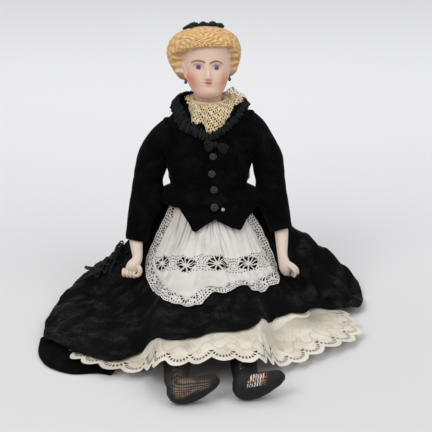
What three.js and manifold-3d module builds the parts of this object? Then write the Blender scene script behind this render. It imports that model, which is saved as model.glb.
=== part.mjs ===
// A shoulder head doll, sitting with its legs straight out in front of it.
// Millimetres, +Z up. The doll faces -Y, so its own right hand is at -X.
// The origin is on the floor, on the flat seat of the body, straight below the neck.
import * as THREE from 'three';
import { mergeVertices } from 'three/addons/utils/BufferGeometryUtils.js';
import Module from 'manifold-3d';

const wasm = await Module();
wasm.setup();

// Clearances and cloth thicknesses
const clothGap = 0.5; // between any two pieces that lie on each other
const seamGap = 0.4; // between pieces that meet face to face
const cottonThickness = 1.1;
const flannelThickness = 1.1;
const silkThickness = 1.3;
const velvetThickness = 3.0;
const apronThickness = 0.9;
const laceThickness = 1.1;
const stockingThickness = 0.7;
const bisqueWall = 3.2;

// Stuffed body
const seatHalfWidth = 33;
const seatFront = 4; // how far the flat seat reaches in front of the origin
const seatBack = 26;
const hipHalfWidth = 40;
const hipFront = 22; // the seam that the legs hang from
const hipBack = 36;
const hipHeight = 18;
const bellyHeight = 62;
const waistHeight = 120;
const waistHalfWidth = 33;
const waistHalfDepth = 21;
const chestHeight = 150;
const chestHalfWidth = 36;
const chestHalfDepth = 23;
const bodySquareness = 0.85; // 1 is an ellipse, less is squarer

// Shoulder plate and neck
const plateEdgeHeight = 160;
const plateHalfWidth = 38;
const plateHalfDepth = 24;
const shoulderHeight = 184;
const shoulderSlope = 19; // rise from the shoulders to the foot of the neck
const neckBaseHeight = shoulderHeight + shoulderSlope;
const neckRadius = 12.5;
const neckCentreY = 1;

// Head: heights are above the underside of the chin, in the head's own frame
const neckLength = 10.5;
const neckTop = [-1, 0, neckBaseHeight + neckLength];
const headTurn = 6; // degrees towards +X
const headTiltBack = 6;
const headRoll = 2;
const faceHalfWidth = 23.3;
const faceDepth = 23.6;
const eyeHeight = 28;
const eyeSpacing = 8.7;
const noseHeight = 18.5;
const noseLength = 5.4;
const mouthHeight = 12.6;
const hairlineHeight = 47.5;
const hairWidestHeight = 40;
const hairHalfWidth = 35;
const hairShift = -1.8; // the moulded hair stands further out on the -X side
const hairTop = 64.5;
const ribbonRadius = 2;
const earringHeight = 12;

// Sewing tapes that hold the shoulder plate down, in degrees from the front
const tapePlaces = { front_right: -40, front_left: 40, back_right: -140, back_left: 140 };

// Arms
const armholeX = 42.7; // the flat where each sleeve meets the jacket
const shoulderAxisHeight = 168;
const armholeRadius = 18;
const armpitHeight = 149;
const sleeveThickness = 2.0;
const cuffRadius = 11;
const handRadius = 8;

// Legs
const legSpacing = 20; // of each hip from the middle
const thighRadius = 16.6;
const kneeY = -135;
const kneeHeight = 17;
const ankleY = -222;
const footLength = 34; // from the middle of the heel to the toe
const footRise = 1.5; // of the bare foot above the floor
const stockingTopY = -172;

// Jacket
const jacketSideHem = 110;
const jacketPointHem = 87;
const jacketNotchHem = 97;
const necklineFront = shoulderHeight - 4;
const necklineBack = neckBaseHeight - 5;
const jacketEase = 1.0; // room in the jacket over the body
const peplumFlare = 8.5;
const pointFlare = 0.66;
const buttonGap = 0.5;
const lowestButton = jacketNotchHem + 11;
const highestButton = necklineFront - 22;
const buttonPlaces = [[4.1, 1, 3.8], [2.9, 0.64, 3.9], [5, 0.3, 4.1], [5.4, 0, 4.2]]; // [x, share of the way up, radius]
const studX = 13.8;
const studHeight = jacketNotchHem + 8.5;
const studRadius = 1.9;
const bowX = 7.5;
const bowHeight = necklineFront - 14.2;


// Skirts
const waistbandHeight = 100;
const waistbandGap = 2.6; // from the body to the base that the skirts are offset from
const floorRise = 1.6; // the base's lowest place, clear of the hem facing
const lapHeight = 41; // of the base over the legs
const clothSag = 3; // of the skirts between the legs
const foldDepth = 2.2;
const creaseCount = 20; // around the skirts: each takes two columns
const creaseHeights = [0.9, 2.1]; // at the front, and at the sides and back
const apronBandHeight = waistbandHeight + 5;
const apronBandOffset = 5.2; // from the body
const bandHalfWidth = 2.4;
const layerLean = 62; // degrees from upright that the layers stack at the waist

const skirtColumns = 40;
const limbSides = 12;

const rad = THREE.MathUtils.degToRad;
const clamp = THREE.MathUtils.clamp;
const mix = THREE.MathUtils.lerp;
const smooth = (low, high, v) => THREE.MathUtils.smoothstep(v, low, high);
const bell = (v, centre, width) => Math.exp(-(((v - centre) / width) ** 2));

// Straight-line interpolation down a table of rows that start with their own place
function along(table, place) {
  if (place <= table[0][0]) return table[0].slice(1);
  for (let i = 1; i < table.length; i++) {
    if (place <= table[i][0]) {
      const [low, high] = [table[i - 1], table[i]];
      const t = (place - low[0]) / (high[0] - low[0]);
      return low.slice(1).map((value, k) => mix(value, high[k + 1], t));
    }
  }
  return table[table.length - 1].slice(1);
}

// Indices of the quads between two rings; flipped ones are cut along the other diagonal
function bridge(index, from, to, count, flipped) {
  for (let i = 0; i < count; i++) {
    const j = (i + 1) % count;
    if (flipped(i)) index.push(from + i, from + j, to + i, from + j, to + j, to + i);
    else index.push(from + i, from + j, to + j, from + i, to + j, to + i);
  }
}

function signedVolume(points, index) {
  let total = 0;
  for (let i = 0; i < index.length; i += 3) {
    const [a, b, c] = [points[index[i]], points[index[i + 1]], points[index[i + 2]]];
    total += a.dot(new THREE.Vector3().crossVectors(b, c));
  }
  return total;
}

function closedSurface(points, index) {
  if (signedVolume(points, index) < 0) {
    for (let i = 0; i < index.length; i += 3) [index[i + 1], index[i + 2]] = [index[i + 2], index[i + 1]];
  }
  const geometry = new THREE.BufferGeometry();
  geometry.setAttribute('position', new THREE.Float32BufferAttribute(points.flatMap((p) => p.toArray()), 3));
  geometry.setIndex(index);
  geometry.computeVertexNormals();
  return geometry;
}

// A closed surface through rings of equal count: capped at both ends, or joined end to start
function loft(rings, joined = false, flipped = () => false) {
  const count = rings[0].length;
  const points = rings.flat();
  const index = [];
  for (let k = 1; k < rings.length; k++) bridge(index, (k - 1) * count, k * count, count, (i) => flipped(k, i));
  if (joined) {
    bridge(index, (rings.length - 1) * count, 0, count, () => false);
  } else {
    for (const [ring, first] of [[rings[0], 0], [rings.at(-1), (rings.length - 1) * count]]) {
      const middle = new THREE.Vector3();
      ring.forEach((p) => middle.addScaledVector(p, 1 / count));
      const centre = points.push(middle) - 1;
      for (let i = 0; i < count; i++) {
        const j = (i + 1) % count;
        if (first === 0) index.push(centre, first + j, first + i);
        else index.push(centre, first + i, first + j);
      }
    }
  }
  return closedSurface(points, index);
}

// Both of these cut their two faces along the same diagonals, so that layers nest.
// A flat sheet of cloth as a closed solid, from two grids of points: its face and its back
function sheet(face, back) {
  const count = 2 * face[0].length;
  const points = face.flatMap((row, k) => [...row, ...back[k].toReversed()]);
  const index = [];
  for (let k = 1; k < face.length; k++) bridge(index, (k - 1) * count, k * count, count, (i) => i >= count / 2);
  for (const first of [0, (face.length - 1) * count]) {
    for (let i = 0; i < count / 2 - 1; i++) {
      const [a, b, c, d] = [first + i, first + i + 1, first + count - 2 - i, first + count - 1 - i];
      if (first === 0) index.push(a, c, b, a, d, c);
      else index.push(a, b, c, a, c, d);
    }
  }
  return closedSurface(points, index);
}

// A bell of cloth, open at both ends, from the rings of its outside and inside
function shell(outer, inner) {
  return loft([...outer, ...inner.toReversed()], true, (k) => k > outer.length);
}

// A round limb through stations [x, y, z, half width, half depth]: rings stand square to the path,
// with their width along the direction given
function limb(stations, sides = limbSides, towards = new THREE.Vector3(1, 0, 0)) {
  const centres = stations.map((s) => new THREE.Vector3(s[0], s[1], s[2]));
  const rings = stations.map((s, k) => {
    const ahead = centres[Math.min(k + 1, centres.length - 1)];
    const behind = centres[Math.max(k - 1, 0)];
    const run = ahead.clone().sub(behind).normalize();
    const wide = towards.clone().addScaledVector(run, -towards.dot(run)).normalize();
    const deep = new THREE.Vector3().crossVectors(run, wide);
    return oval(sides, (c, d) => centres[k].clone().addScaledVector(wide, s[3] * c).addScaledVector(deep, s[4] * d));
  });
  return loft(rings);
}

function oval(sides, place) {
  return Array.from({ length: sides }, (_, i) => {
    const turn = (2 * Math.PI * i) / sides;
    return place(Math.cos(turn), Math.sin(turn));
  });
}

function toSolid(geometry) {
  const bare = geometry.clone();
  bare.deleteAttribute('normal');
  bare.deleteAttribute('uv');
  const merged = mergeVertices(bare, 1e-4);
  const index = merged.index.array;
  return new wasm.Manifold(new wasm.Mesh({
    numProp: 3,
    vertProperties: merged.attributes.position.array,
    triVerts: new Uint32Array(index),
  }));
}

function fromSolid(solid) {
  const mesh = solid.getMesh();
  const geometry = new THREE.BufferGeometry();
  geometry.setAttribute('position', new THREE.Float32BufferAttribute(mesh.vertProperties, 3));
  geometry.setIndex([...mesh.triVerts]);
  geometry.computeVertexNormals();
  return geometry;
}

function union(geometries) {
  return fromSolid(geometries.map(toSolid).reduce((all, next) => all.add(next)));
}

// Angles around the doll run from the front, and grow towards +X
const around = (turn, x, y) => new THREE.Vector3(x * Math.sin(turn), -y * Math.cos(turn), 0);

// A body section: an oval that is flatter at its sides than an ellipse
function bodyPoint(turn, halfWidth, halfDepth, centreY, height) {
  const [s, c] = [Math.sin(turn), Math.cos(turn)];
  const x = halfWidth * Math.sign(s) * Math.abs(s) ** bodySquareness;
  const y = centreY - halfDepth * Math.sign(c) * Math.abs(c) ** bodySquareness;
  return new THREE.Vector3(x, y, height);
}

// Outer size of the figure at each height: [height, half width, half depth, centre y]
const hipDepth = (hipFront + hipBack) / 2;
const hipCentre = (hipBack - hipFront) / 2;
const figureTable = [
  [0, seatHalfWidth, (seatFront + seatBack) / 2, (seatBack - seatFront) / 2],
  [hipHeight, hipHalfWidth, hipDepth, hipCentre],
  [hipHeight + 20, hipHalfWidth, hipDepth, hipCentre - 4],
  [bellyHeight, hipHalfWidth - 3, hipDepth - 2, 1],
  [waistHeight - 20, waistHalfWidth + 1.5, waistHalfDepth + 1.5, 0],
  [waistHeight, waistHalfWidth, waistHalfDepth, 0],
  [chestHeight - 14, chestHalfWidth - 0.5, chestHalfDepth - 0.5, 0],
  [chestHeight, chestHalfWidth, chestHalfDepth, 0],
  [plateEdgeHeight, plateHalfWidth, plateHalfDepth, 0],
  [shoulderHeight - 8, plateHalfWidth, plateHalfDepth - 1, 0],
  [shoulderHeight, plateHalfWidth - 2, plateHalfDepth - 4, 0],
  [shoulderHeight + (shoulderSlope * 6) / 19, plateHalfWidth - 9, plateHalfDepth - 8, 0.5],
  [shoulderHeight + (shoulderSlope * 12) / 19, plateHalfWidth - 18, plateHalfDepth - 10.5, neckCentreY],
  [neckBaseHeight, neckRadius + 1, neckRadius + 0.2, neckCentreY],
];

function figureRing(height, offset, columns) {
  const [a, b, centreY] = along(figureTable, height);
  return Array.from({ length: columns }, (_, i) => {
    const turn = (2 * Math.PI * i) / columns;
    return bodyPoint(turn, a + offset, b + offset, centreY, height);
  });
}

// Body: stuffed cotton, narrowed where it stands up inside the shoulder plate
function makeTorso() {
  const inside = -(bisqueWall + clothGap);
  const below = -0.6;
  const heights = figureTable.map((row) => row[0]).filter((z) => z < plateEdgeHeight);
  const rings = heights.map((z) => figureRing(z, below, 24));
  rings.push(figureRing(plateEdgeHeight - 3, below, 24));
  for (const z of [plateEdgeHeight - 1, shoulderHeight - 10, shoulderHeight - 3]) rings.push(figureRing(z, inside, 24));
  rings.push(figureRing(shoulderHeight + 2, inside - 2, 24));
  return loft(rings);
}

// Head frame to world
const headPose = new THREE.Matrix4().makeTranslation(...neckTop).multiply(
  new THREE.Matrix4().makeRotationFromEuler(new THREE.Euler(rad(-headTiltBack), rad(-headRoll), rad(headTurn), 'ZXY')),
);

// Bare head, [height, half width, front, back]
const skullTable = [
  [-6, neckRadius, neckRadius - 1, neckRadius],
  [-2, 13.4, 12, 13.4],
  [2, 14, 12.6, 15],
  [7, 15.5, 14, 18],
  [13, 18, 18, 21],
  [20, 22.4, faceDepth - 0.2, 24],
  [eyeHeight, faceHalfWidth, faceDepth - 0.2, 26],
  [36, faceHalfWidth, faceDepth + 0.2, 27],
  [44, 22.6, faceDepth, 27],
  [52, 20, 20, 24],
  [60, 10, 10, 12],
  [hairTop, 2, 2, 2],
];

// The jaw stands forward of the neck: [height, half width, half depth, how far forward its middle is]
const jawTable = [
  [-2, 4.5, 6, 5.5],
  [0, 8.5, 10.5, 8],
  [2, 11.4, 12.6, 8.6],
  [5, 14.4, 14, 8.8],
  [8, 16.6, 15.2, 7.8],
  [13, 19.8, 18.6, 5],
  [20, 22.4, faceDepth - 0.2, 0],
];

// Moulded hair, [height, half width, front, back]
const hairTable = [
  [4, 14, 15, 15],
  [10, 21.5, 20, 25],
  [16, hairHalfWidth - 8.5, 24, 30],
  [24, hairHalfWidth - 4.5, 26, 33.5],
  [32, hairHalfWidth - 1.2, 27, 35],
  [hairWidestHeight, hairHalfWidth, 27, 35.5],
  [46, hairHalfWidth - 1.2, 27, 35],
  [52, hairHalfWidth - 5.5, 25.5, 31.5],
  [57, hairHalfWidth - 12, 21.5, 26],
  [61, hairHalfWidth - 19.5, 15.5, 18.5],
  [63.3, hairHalfWidth - 27, 8, 9],
  [hairTop, 2, 2, 2],
];

// Half angle of the face that the hair leaves bare, by height
const faceOpening = [
  [4, 170],
  [9, 128],
  [14, 100],
  [20, 86],
  [30, 80],
  [38, 70],
  [43, 52],
  [hairlineHeight, 18],
  [hairlineHeight + 2, 0],
];

// How far the face stands forward of its plain oval
function faceRelief(x, z) {
  const nose = along([
    [noseHeight - 4, 0.2],
    [noseHeight - 2, 3.4],
    [noseHeight, noseLength],
    [noseHeight + 6, 2.8],
    [noseHeight + 12, 1.0],
    [noseHeight + 18, 0],
  ], z)[0] * bell(x, 0, 3.0);
  const side = Math.abs(x);
  const sockets = -1.7 * bell(side, eyeSpacing, 5) * bell(z, eyeHeight, 3.6);
  const lips = 1.4 * bell(x, 0, 4.6) * bell(z, mouthHeight, 2.4);
  const chin = 1.2 * bell(x, 0, 7) * bell(z, 4, 4);
  const cheeks = 0.8 * bell(side, 13, 6) * bell(z, 15, 6);
  return nose + sockets + lips + chin + cheeks;
}

// Distance from the head's axis to the jaw's oval, whose middle stands forward of the axis
function jawRadius(turn, z) {
  const [wide, deep, forward] = along(jawTable, z);
  const [s, c] = [Math.sin(turn), Math.cos(turn)];
  const a = (s / wide) ** 2 + (c / deep) ** 2;
  const b = (c * forward) / deep ** 2;
  return (b + Math.sqrt(Math.max(b * b + a * (1 - (forward / deep) ** 2), 0))) / a;
}

function headPoint(turn, z) {
  const [skullWide, skullFront, skullBack] = along(skullTable, z);
  const [hairWide, hairFront, hairBack] = along(hairTable, z);
  const degrees = Math.abs(THREE.MathUtils.radToDeg(turn));
  const bare = along(faceOpening, z)[0];
  const hair = z < 4 ? 0 : smooth(bare - 7, bare + 7, degrees);
  const front = Math.cos(turn) > 0;
  const skullDeep = front ? skullFront : skullBack;
  const reach = Math.hypot(skullWide * Math.sin(turn), skullDeep * Math.cos(turn));
  const jut = front && z > -3 && z < 20 ? Math.max(jawRadius(turn, z) / reach, 1) : 1;
  const wide = mix(skullWide * jut, hairWide, hair);
  const deep = mix(skullDeep * jut, front ? hairFront : hairBack, hair);
  const wave = hair * 0.9 * Math.sin(turn * 7 + z * 0.55);
  const x = (wide + wave) * Math.sin(turn) + hairShift * hair * smooth(8, hairWidestHeight, z);
  const relief = front ? (1 - hair) * faceRelief(x, z) : 0;
  return new THREE.Vector3(x, -(deep + wave) * Math.cos(turn) - relief, z);
}

// Shoulder head: one fired piece of head, moulded hair, neck and shoulder plate, hollow from below
function makeShoulderHead() {
  const columns = 30;
  const turns = Array.from({ length: columns }, (_, i) => {
    const even = (2 * Math.PI * i) / columns - Math.PI;
    return even - 0.5 * Math.sin(even);
  });
  const heights = [-6, -1, 2.5, 6.5, 10, 12.6, 15, 16.7, 18.5, 23, 28, 33, 38, 43, 47, 51, 55, 59, 62, 63.8];
  const skull = heights.map((z) => turns.map((turn) => headPoint(turn, z).applyMatrix4(headPose)));
  const plateHeights = figureTable.map((row) => row[0]).filter((z) => z >= plateEdgeHeight);
  const plate = (offset) => plateHeights.map((z) => {
    const [a, b, centreY] = along(figureTable, z);
    return turns.map((turn) => bodyPoint(turn, a + offset, b + offset, centreY, z));
  });
  // The hollow runs up through the neck into the head
  const hollow = [];
  for (const [z, share] of [[-4, 1], [6, 0.82], [34, 0.84], [48, 0.66]]) {
    const [wide, front, back] = along(skullTable, z);
    hollow.push(turns.map((turn) => new THREE.Vector3(
      (wide * share - bisqueWall) * Math.sin(turn),
      -((Math.cos(turn) > 0 ? front : back) * share - bisqueWall) * Math.cos(turn),
      z,
    ).applyMatrix4(headPose)));
  }
  const rings = [...skull.toReversed(), ...plate(0).toReversed(), ...plate(-bisqueWall), ...hollow];
  return loft(rings);
}

// Jacket: hem and neckline heights by angle from the front, in degrees
const jacketHem = [
  [-180, jacketSideHem],
  [-75, jacketSideHem],
  [-45, jacketSideHem - 4.5],
  [-27, jacketSideHem - 6],
  [-20, jacketPointHem + 10],
  [-12, jacketPointHem],
  [-9, jacketPointHem],
  [4, jacketNotchHem],
  [20, jacketPointHem + 1.5],
  [28, jacketPointHem],
  [40, jacketPointHem + 14],
  [60, jacketNotchHem + 8],
  [100, jacketSideHem],
  [180, jacketSideHem],
];
const jacketNeckline = [
  [-180, necklineBack],
  [-75, necklineBack],
  [-48, necklineBack - 8],
  [0, necklineFront],
  [48, necklineBack - 8],
  [75, necklineBack],
  [180, necklineBack],
];

function jacketOffset(height) {
  const flare = peplumFlare * (1 - smooth(waistHeight - 10, waistHeight + 1, height));
  const points = pointFlare * Math.max(0, waistbandHeight + 4 - height);
  const shoulder = 0.8 * bell(height, shoulderHeight, 7);
  return clothGap + jacketEase + shoulder + flare + points;
}

function jacketRing(level, offset, columns) {
  return Array.from({ length: columns }, (_, i) => {
    const turn = (2 * Math.PI * i) / columns - Math.PI;
    const degrees = THREE.MathUtils.radToDeg(turn);
    const height = mix(along(jacketHem, degrees)[0], along(jacketNeckline, degrees)[0], level);
    const [a, b, centreY] = along(figureTable, height);
    const out = jacketOffset(height) + offset;
    const point = bodyPoint(turn, a + out, b + out, centreY, height);
    const side = height > armpitHeight ? armholeX - seamGap : Infinity;
    point.x = clamp(point.x, -side, side);
    return point;
  });
}

function makeJacket() {
  const columns = 36;
  const levels = [0, 0.1, 0.2, 0.3, 0.44, 0.6, 0.72, 0.8, 0.87, 0.92, 0.96, 1];
  const outer = levels.map((level) => jacketRing(level, velvetThickness, columns));
  const inner = levels.map((level) => jacketRing(level, 0, columns));
  return shell(outer, inner);
}

// The point on the jacket's outside at an angle and a height, and a distance out
function onJacket(degrees, height, out) {
  const turn = rad(degrees);
  const [a, b, centreY] = along(figureTable, height);
  const offset = jacketOffset(height) + velvetThickness + out;
  return bodyPoint(turn, a + offset, b + offset, centreY, height);
}

// Gathered ribbon round the neckline, as a ring whose section swells at each gather
function makeNeckRuffle() {
  const steps = 54;
  const gathers = 18;
  const ruffleWidth = 4.0;
  const ruffleThickness = 1.5;
  const rings = [];
  for (let k = 0; k < steps; k++) {
    const degrees = (360 * k) / steps - 180;
    const swell = 1 + 0.18 * Math.sin((2 * Math.PI * gathers * k) / steps);
    const height = along(jacketNeckline, degrees)[0] - ruffleWidth * 0.4;
    const out = ruffleThickness * 1.3 + clothGap + 1.2;
    const middle = onJacket(degrees, height, out);
    const outward = new THREE.Vector3(middle.x, middle.y, 0).normalize().multiplyScalar(0.75).add(new THREE.Vector3(0, 0, 0.65)).normalize();
    const next = onJacket(degrees + 2, along(jacketNeckline, degrees + 2)[0] - ruffleWidth * 0.4, out);
    const run = next.sub(middle).normalize();
    const wide = new THREE.Vector3().crossVectors(run, outward).normalize();
    const deep = new THREE.Vector3().crossVectors(wide, run).normalize();
    rings.push(oval(6, (c, d) => middle.clone()
      .addScaledVector(wide, ruffleWidth * swell * c)
      .addScaledVector(deep, ruffleThickness * swell * d)));
  }
  return loft(rings, true);
}

// Lace collar: a gathered frill round the neck that falls open over the chest
const collarReach = [
  [-180, 4.5],
  [-80, 5],
  [-50, 10],
  [-25, 16],
  [0, 20],
  [25, 15],
  [50, 10],
  [80, 5],
  [180, 4.5],
];

// Its upper edge, as [degrees, rise above the neck, lean outward]: one part stands up on the +X side
const collarEdge = [
  [-180, 4, 0.6],
  [30, 4, 0.6],
  [55, 9, 9],
  [78, 17, 17],
  [98, 15, 16],
  [118, 6, 4],
  [140, 4, 0.6],
  [180, 4, 0.6],
];

function makeCollar() {
  const columns = 40;
  const fold = neckBaseHeight + 1.5;
  const ring = (offset, share) => Array.from({ length: columns }, (_, i) => {
    const turn = (2 * Math.PI * i) / columns - Math.PI;
    const degrees = THREE.MathUtils.radToDeg(turn);
    const [rise, lean] = along(collarEdge, degrees);
    const height = share < 0 ? fold + rise : fold - along(collarReach, degrees)[0] * share;
    const [a, b, centreY] = along(figureTable, height);
    const frill = share < 0 ? lean : 0.9 * share * (1 + Math.sin(turn * 10));
    const out = clothGap + 0.5 + frill + offset;
    return bodyPoint(turn, a + out, b + out, centreY, height);
  });
  const grid = (offset) => [-1, 0, 0.33, 0.66, 1].map((share) => ring(offset, share));
  return shell(grid(laceThickness), grid(0));
}

// Plan outlines of the hems, as corners [x, y] in order round the doll
const skirtHem = [
  [0, 128], [-70, 112], [-120, 65], [-139, 10], [-150, -20], [-153, -45], [-158, -88], [-154, -121],
  [-137, -142], [-117, -161], [-96, -178], [-80, -178], [-66, -164], [-57, -158], [-40, -186], [-26, -186],
  [-12, -180], [0, -172], [12, -171], [24, -173], [36, -170], [45, -157], [51, -141], [56, -125], [59, -111],
  [64, -102], [78, -94], [92, -83], [102, -69], [109, -63], [123, -60], [138, -56], [150, -46], [155, -15],
  [150, 30], [120, 80], [70, 115],
];
const petticoatHem = [
  [0, 110], [-55, 98], [-95, 60], [-115, 10], [-125, -30], [-130, -80], [-132, -137], [-124, -170],
  [-104, -187], [-86, -194], [-72, -196], [-58, -200], [-47, -222], [-32, -230], [-16, -226], [0, -219],
  [16, -221], [32, -227], [47, -225], [57, -200], [67, -184], [80, -179], [91, -170], [101, -161], [111, -151],
  [121, -143], [134, -132], [146, -112], [143, -85], [128, -45], [124, -10], [118, 30], [95, 72], [50, 100],
];
const flannelSetback = 14; // of the flannel petticoat's hem inside the cotton one's

// The apron's edge, as [degrees from the front, radius in plan]; outside it, where the rows run on
const apronEdge = [
  [-78, 84], [-74, 40], [-73, 60], [-70, 63.5], [-64, 67], [-58, 71.5], [-52, 75.5], [-46, 79.5], [-40, 84.5],
  [-34, 92], [-31, 98], [-28, 105.5], [-25, 113.5], [-22, 120], [-16, 125.5], [-7, 126.5], [-4, 121], [-1, 116.5],
  [2, 111], [11, 112], [14, 105], [17, 101.5], [23, 99.5], [26, 103], [29, 101.5], [32, 97], [38, 91.5],
  [50, 89], [56, 84], [62, 75], [68, 69.5], [70, 45], [72, 40], [88, 84],
];
const sashTurns = [-95, -83];
const fringeTurns = [-108, -83];
const strandRadius = 0.9;
const netTurns = [-102.5, -86.5];
const netStart = 93; // radius in plan of the net's first row of gaps
const netRowHeight = 5.2;
const netRows = 4;
const netPlaces = 4;

// Radius of a closed plan outline at an angle, smoothly through its corners
function outlineRadius(outline) {
  const corners = outline
    .map(([x, y]) => ({ turn: Math.atan2(x, -y), radius: Math.hypot(x, y) }))
    .sort((p, q) => p.turn - q.turn);
  const count = corners.length;
  return (turn) => {
    let k = corners.findIndex((corner) => corner.turn > turn);
    if (k < 0) k = count;
    const at = (i) => {
      const corner = corners[((i % count) + count) % count];
      const laps = Math.floor(i / count);
      return { turn: corner.turn + laps * 2 * Math.PI, radius: corner.radius };
    };
    const [p0, p1, p2, p3] = [at(k - 2), at(k - 1), at(k), at(k + 1)];
    const t = (turn - p1.turn) / (p2.turn - p1.turn);
    const m1 = ((p2.radius - p0.radius) / (p2.turn - p0.turn)) * (p2.turn - p1.turn);
    const m2 = ((p3.radius - p1.radius) / (p3.turn - p1.turn)) * (p2.turn - p1.turn);
    const [t2, t3] = [t * t, t * t * t];
    return (2 * t3 - 3 * t2 + 1) * p1.radius + (t3 - 2 * t2 + t) * m1 * 0.7
      + (3 * t2 - 2 * t3) * p2.radius + (t3 - t2) * m2 * 0.7;
  };
}
const skirtRadius = outlineRadius(skirtHem);
const petticoatRadius = outlineRadius(petticoatHem);
const outerRadius = (turn) => Math.max(skirtRadius(turn), petticoatRadius(turn));

// Legs, as stations [y, x, height, radius] of the right one; the left one adds its own shift
const legs = {
  right: { side: -1, knee: -28, ankle: -28, heel: -24, footY: -241 },
  left: { side: 1, knee: 30, ankle: 33, heel: 33, footY: -233 },
};
const legTable = [
  [ankleY - 22, 9.5, 11],
  [ankleY, 9.5, 14],
  [ankleY + 32, 11, 15],
  [kneeY - 22, 13, 16],
  [kneeY, 14, kneeHeight],
  [kneeY + 60, thighRadius, hipHeight],
  [-hipFront, thighRadius, hipHeight],
];

function legCentreX(leg, y) {
  return along([
    [ankleY - 22, leg.heel],
    [ankleY, leg.ankle],
    [kneeY, leg.knee],
    [-hipFront, leg.side * legSpacing],
  ], y)[0];
}

// Height that the legs lift the cloth to: it rounds over each and sags a little between them
function legRidge(x, y) {
  const [radius, centre] = along(legTable, y);
  const [left, right] = [legCentreX(legs.left, y), legCentreX(legs.right, y)];
  const [middle, half] = [(left + right) / 2, (left - right) / 2];
  const reach = Math.max(Math.abs(x - middle) - half, 0);
  const side = 1 - smooth(radius + 2, radius + 24, reach);
  const sag = clothSag * clamp(1 - ((x - middle) / half) ** 2, 0, 1);
  return (centre + radius + 2.4 - sag) * side * smooth(ankleY - 28, ankleY - 10, y);
}

const softMax = (a, b, width) => 0.5 * (a + b + Math.sqrt((a - b) ** 2 + width * width));

// How fast the skirts fall away from the waist, by angle from the front
const fallTable = [
  [-180, 1.35],
  [-92, 1.4],
  [-80, 2.4],
  [-68, 4.2],
  [-50, 4.2],
  [-25, 3.2],
  [0, 3.0],
  [45, 2.6],
  [62, 2.9],
  [75, 2.1],
  [90, 0.95],
  [110, 0.95],
  [180, 1.35],
];

// Radius of the waist at an angle: the polar form of the body's section
function waistRadius(turn) {
  const [wide, deep] = along(figureTable, waistbandHeight);
  const power = 2 / bodySquareness;
  const x = Math.abs(Math.sin(turn) / (wide + waistbandGap)) ** power;
  const y = Math.abs(Math.cos(turn) / (deep + waistbandGap)) ** power;
  return (x + y) ** (-1 / power);
}

// The shared base that all the skirts are offset from, at an angle and a radius in plan
function basePoint(turn, radius) {
  const start = waistRadius(turn);
  const x = radius * Math.sin(turn);
  const y = -radius * Math.cos(turn);
  const out = clamp((radius - start) / (outerRadius(turn) - start), 0, 1);
  const fall = along(fallTable, THREE.MathUtils.radToDeg(turn))[0];
  const cone = (waistbandHeight - floorRise) * (1 - out) ** fall;
  const lap = lapHeight * smooth(-150, -105, y) * (1 - smooth(34, 66, Math.abs(x)));
  const ahead = 1 - smooth(-34, -6, y); // the legs start in front of the body
  const ridges = ahead * Math.max(legRidge(x, y), lap);
  const blendWidth = 7 * smooth(0.03, 0.2, out);
  const raised = Math.max(softMax(cone, ridges, blendWidth) - blendWidth / 9, 0);
  const ripple = 1 + 0.6 * Math.sin(turn * 11 + 0.6) + 0.4 * Math.sin(turn * 17 + 2.1 + out * 2);
  const folds = foldDepth * ripple * smooth(0.08, 0.5, out) * smooth(0, 12, raised + 4);
  const crease = Math.sin(turn * creaseCount + 0.5 * Math.sin(turn * 3 + 1) + 0.3 * Math.sin(out * 6));
  const creases = mix(...creaseHeights, smooth(1, 1.5, Math.abs(turn))) * crease * smooth(0.25, 0.7, out) * smooth(0, 10, raised + 2);
  return new THREE.Vector3(x, y, floorRise + raised + folds + creases);
}

// Every layer shares its places in plan: rows to the apron's edge, to the flannel's hem,
// to the shorter of petticoat and skirt, and on to the layer's own hem
const rowCounts = [5, 3, 1, 3];
const overlapMargin = 1.2;
const flannelRadius = (turn) => Math.min(petticoatRadius(turn) - flannelSetback, skirtRadius(turn) - 8);
const commonRadius = (turn) => Math.min(petticoatRadius(turn), skirtRadius(turn)) - overlapMargin;
const apronRadius = (turn) => Math.min(
  along(apronEdge, THREE.MathUtils.radToDeg(turn))[0],
  flannelRadius(turn) - 12,
);

function rowRadii(turn, hemRadius) {
  const stops = [waistRadius(turn), apronRadius(turn), flannelRadius(turn)];
  if (hemRadius) stops.push(commonRadius(turn), hemRadius(turn));
  const radii = [stops[0]];
  for (let k = 1; k < stops.length; k++) {
    const spread = k === 1 ? 1.35 : 1; // rows stand closer together near the waist
    for (let i = 1; i <= rowCounts[k - 1]; i++) radii.push(mix(stops[k - 1], stops[k], (i / rowCounts[k - 1]) ** spread));
  }
  return radii;
}

// The base's place, and the direction that the layers stack in: outward at the waist, upward below
function baseFrame(turn, radius) {
  const past = radius - waistRadius(turn);
  const lean = rad(mix(layerLean, 0, smooth(0, 60, past)));
  const stack = around(turn, Math.sin(lean), Math.sin(lean)).add(new THREE.Vector3(0, 0, Math.cos(lean)));
  const tight = mix(0.55, 1, smooth(0, 14, past)); // the layers lie close at the waistband
  return { point: basePoint(turn, radius), stack, tight };
}

// Rows of points offset from the base, one list for each row
function clothGrid(turns, radiiAt, offset, drop = () => 0) {
  const columns = turns.map((turn) => radiiAt(turn).map((radius) => {
    const { point, stack, tight } = baseFrame(turn, radius);
    point.addScaledVector(stack, offset * tight);
    point.z -= drop(turn, radius);
    return point;
  }));
  return columns[0].map((_, k) => columns.map((column) => column[k]));
}

const roundTurns = Array.from({ length: skirtColumns }, (_, i) => (2 * Math.PI * (i + 0.5)) / skirtColumns - Math.PI);

function skirtShell(hemRadius, offset, thickness, drop) {
  const radiiAt = (turn) => rowRadii(turn, hemRadius);
  const outer = clothGrid(roundTurns, radiiAt, offset + thickness, drop);
  const inner = clothGrid(roundTurns, radiiAt, offset, drop);
  return shell(outer, inner);
}

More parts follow.
